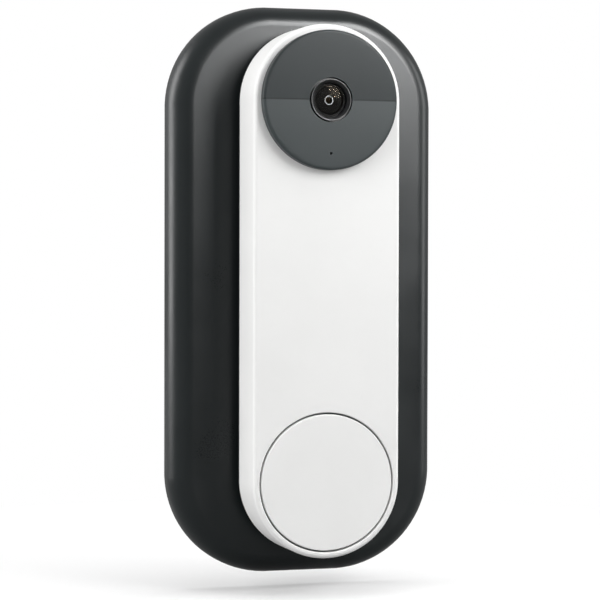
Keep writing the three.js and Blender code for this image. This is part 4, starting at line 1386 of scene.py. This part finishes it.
def make_world():
    """Even white surroundings, dimmer as a light than they look."""
    world = bpy.data.worlds.new("studio")
    world.use_nodes = True
    tree = world.node_tree
    tree.nodes.clear()
    seen = add(tree, "LightPath").outputs["Is Camera Ray"]
    strength = add(
        tree, "MapRange", {"Value": seen, "To Min": 0.38, "To Max": 1.0}
    ).outputs["Result"]
    surround = add(tree, "Background", {"Color": rgba((1.0, 1.0, 1.0)), "Strength": strength})
    add(tree, "OutputWorld", {"Surface": surround.outputs["Background"]})
    bpy.context.scene.world = world


def softbox(name, azimuth, elevation, away, width, height, radiance):
    """A rectangular light aimed at the object. Azimuth is degrees to the right of the
    front, elevation degrees up, away and the sides metres, and radiance its own brightness."""
    light = bpy.data.lights.new(name, "AREA")
    light.shape = "RECTANGLE"
    light.size, light.size_y = width, height
    light.energy = radiance * math.pi * width * height
    lamp = bpy.data.objects.new(name, light)
    round_by, up_by = math.radians(azimuth), math.radians(elevation)
    level = math.cos(up_by)
    towards = Vector((math.sin(round_by) * level, -math.cos(round_by) * level, math.sin(up_by)))
    lamp.location = towards * away
    lamp.rotation_euler = towards.to_track_quat("Z", "Y").to_matrix().to_euler()
    bpy.context.scene.collection.objects.link(lamp)
    return lamp


def make_camera():
    """A long lens a little to the left of the doorbell, level with its middle."""
    camera = bpy.data.cameras.new("camera")
    camera.lens = 137.1
    camera.sensor_width = 36.0
    eye = bpy.data.objects.new("camera", camera)
    heading = Matrix.Rotation(math.radians(-17.07), 4, "Z")
    pitch = Matrix.Rotation(math.radians(90 - 1.371), 4, "X")
    roll = Matrix.Rotation(math.radians(0.142), 4, "Z")
    place = Matrix.Translation((-0.20835, -0.68364, 0.0139))
    eye.matrix_world = place @ heading @ pitch @ roll
    bpy.context.scene.collection.objects.link(eye)
    bpy.context.scene.camera = eye


def make_stage():
    """Floor, surroundings, softboxes and the camera."""
    make_floor()
    make_world()
    softbox("key", 38, 29, 0.5, 0.28, 0.28, 4.5)
    softbox("overhead", 0, 85, 1.2, 1.2, 0.9, 1.6).visible_glossy = False
    softbox("left rim", -130, 8, 1.2, 0.45, 1.3, 6.5).visible_diffuse = False
    for name, azimuth, radiance in (("left fill", -75, 4.8), ("right fill", 78, 3.2)):
        softbox(name, azimuth, 10, 1.2, 0.9, 1.1, radiance).visible_glossy = False
    softbox("right rim", 82, 2, 1.2, 0.5, 1.3, 4.5).visible_diffuse = False
    softbox("back fill", 180, 9, 1.2, 0.6, 0.6, 7.0).visible_glossy = False
    softbox("glint", 24, 32, 0.41, 0.15, 0.26, 32.0).visible_diffuse = False
    bpy.context.scene.view_settings.view_transform = "Standard"
    make_camera()


# ---- Operators ----


class DOORBELL_OT_wall_plate(bpy.types.Operator):
    """Make the charcoal wall plate"""

    bl_idname = "doorbell.wall_plate"
    bl_label = "Wall plate"

    def execute(self, context):
        make_wall_plate()
        return {"FINISHED"}


class DOORBELL_OT_front_shell(bpy.types.Operator):
    """Make the white front shell"""

    bl_idname = "doorbell.front_shell"
    bl_label = "Front shell"

    def execute(self, context):
        make_front_shell()
        return {"FINISHED"}


class DOORBELL_OT_rear_cover(bpy.types.Operator):
    """Make the dark rear cover"""

    bl_idname = "doorbell.rear_cover"
    bl_label = "Rear cover"

    def execute(self, context):
        make_rear_cover()
        return {"FINISHED"}


class DOORBELL_OT_camera_disc(bpy.types.Operator):
    """Make the grey disc that carries the camera"""

    bl_idname = "doorbell.camera_disc"
    bl_label = "Camera disc"

    def execute(self, context):
        make_camera_disc()
        return {"FINISHED"}


class DOORBELL_OT_lens(bpy.types.Operator):
    """Make the bezel, the window, the barrel and the front lens"""

    bl_idname = "doorbell.lens"
    bl_label = "Lens"

    def execute(self, context):
        make_lens()
        return {"FINISHED"}


class DOORBELL_OT_button(bpy.types.Operator):
    """Make the button and the light guide round it"""

    bl_idname = "doorbell.button"
    bl_label = "Button"

    def execute(self, context):
        make_button()
        return {"FINISHED"}


class DOORBELL_OT_frame_finishes(bpy.types.Operator):
    """Give the screws, boards, battery and other carried-over parts their finishes"""

    bl_idname = "doorbell.frame_finishes"
    bl_label = "Finishes of the inner parts"

    def execute(self, context):
        dress_nodes()
        return {"FINISHED"}


class DOORBELL_OT_stage(bpy.types.Operator):
    """Make the floor, the lights and the camera"""

    bl_idname = "doorbell.stage"
    bl_label = "Stage"

    def execute(self, context):
        make_stage()
        return {"FINISHED"}


OPERATORS = (
    DOORBELL_OT_wall_plate,
    DOORBELL_OT_front_shell,
    DOORBELL_OT_rear_cover,
    DOORBELL_OT_camera_disc,
    DOORBELL_OT_lens,
    DOORBELL_OT_button,
    DOORBELL_OT_frame_finishes,
    DOORBELL_OT_stage,
)


class DOORBELL_PT_pieces(bpy.types.Panel):
    """Lists the doorbell's pieces, sizes and colours"""

    bl_idname = "DOORBELL_PT_pieces"
    bl_label = "Video doorbell"
    bl_space_type = "VIEW_3D"
    bl_region_type = "UI"
    bl_category = "Doorbell"

    def draw(self, context):
        layout = self.layout
        for made_by in OPERATORS:
            layout.operator(made_by.bl_idname)
        for group in (context.scene.doorbell_sizes, context.scene.doorbell_colours):
            box = layout.box()
            for name in group.__annotations__:
                box.prop(group, name)


CLASSES = (DoorbellSizes, DoorbellColours, *OPERATORS, DOORBELL_PT_pieces)


def register():
    for each in CLASSES:
        bpy.utils.register_class(each)
    bpy.types.Scene.doorbell_sizes = bpy.props.PointerProperty(type=DoorbellSizes)
    bpy.types.Scene.doorbell_colours = bpy.props.PointerProperty(type=DoorbellColours)


def unregister():
    del bpy.types.Scene.doorbell_colours
    del bpy.types.Scene.doorbell_sizes
    for each in reversed(CLASSES):
        bpy.utils.unregister_class(each)


def main():
    """Makes the whole doorbell."""
    register()
    for made_by in OPERATORS:
        group, name = made_by.bl_idname.split(".")
        getattr(getattr(bpy.ops, group), name)()


if __name__ == "__main__":
    main()
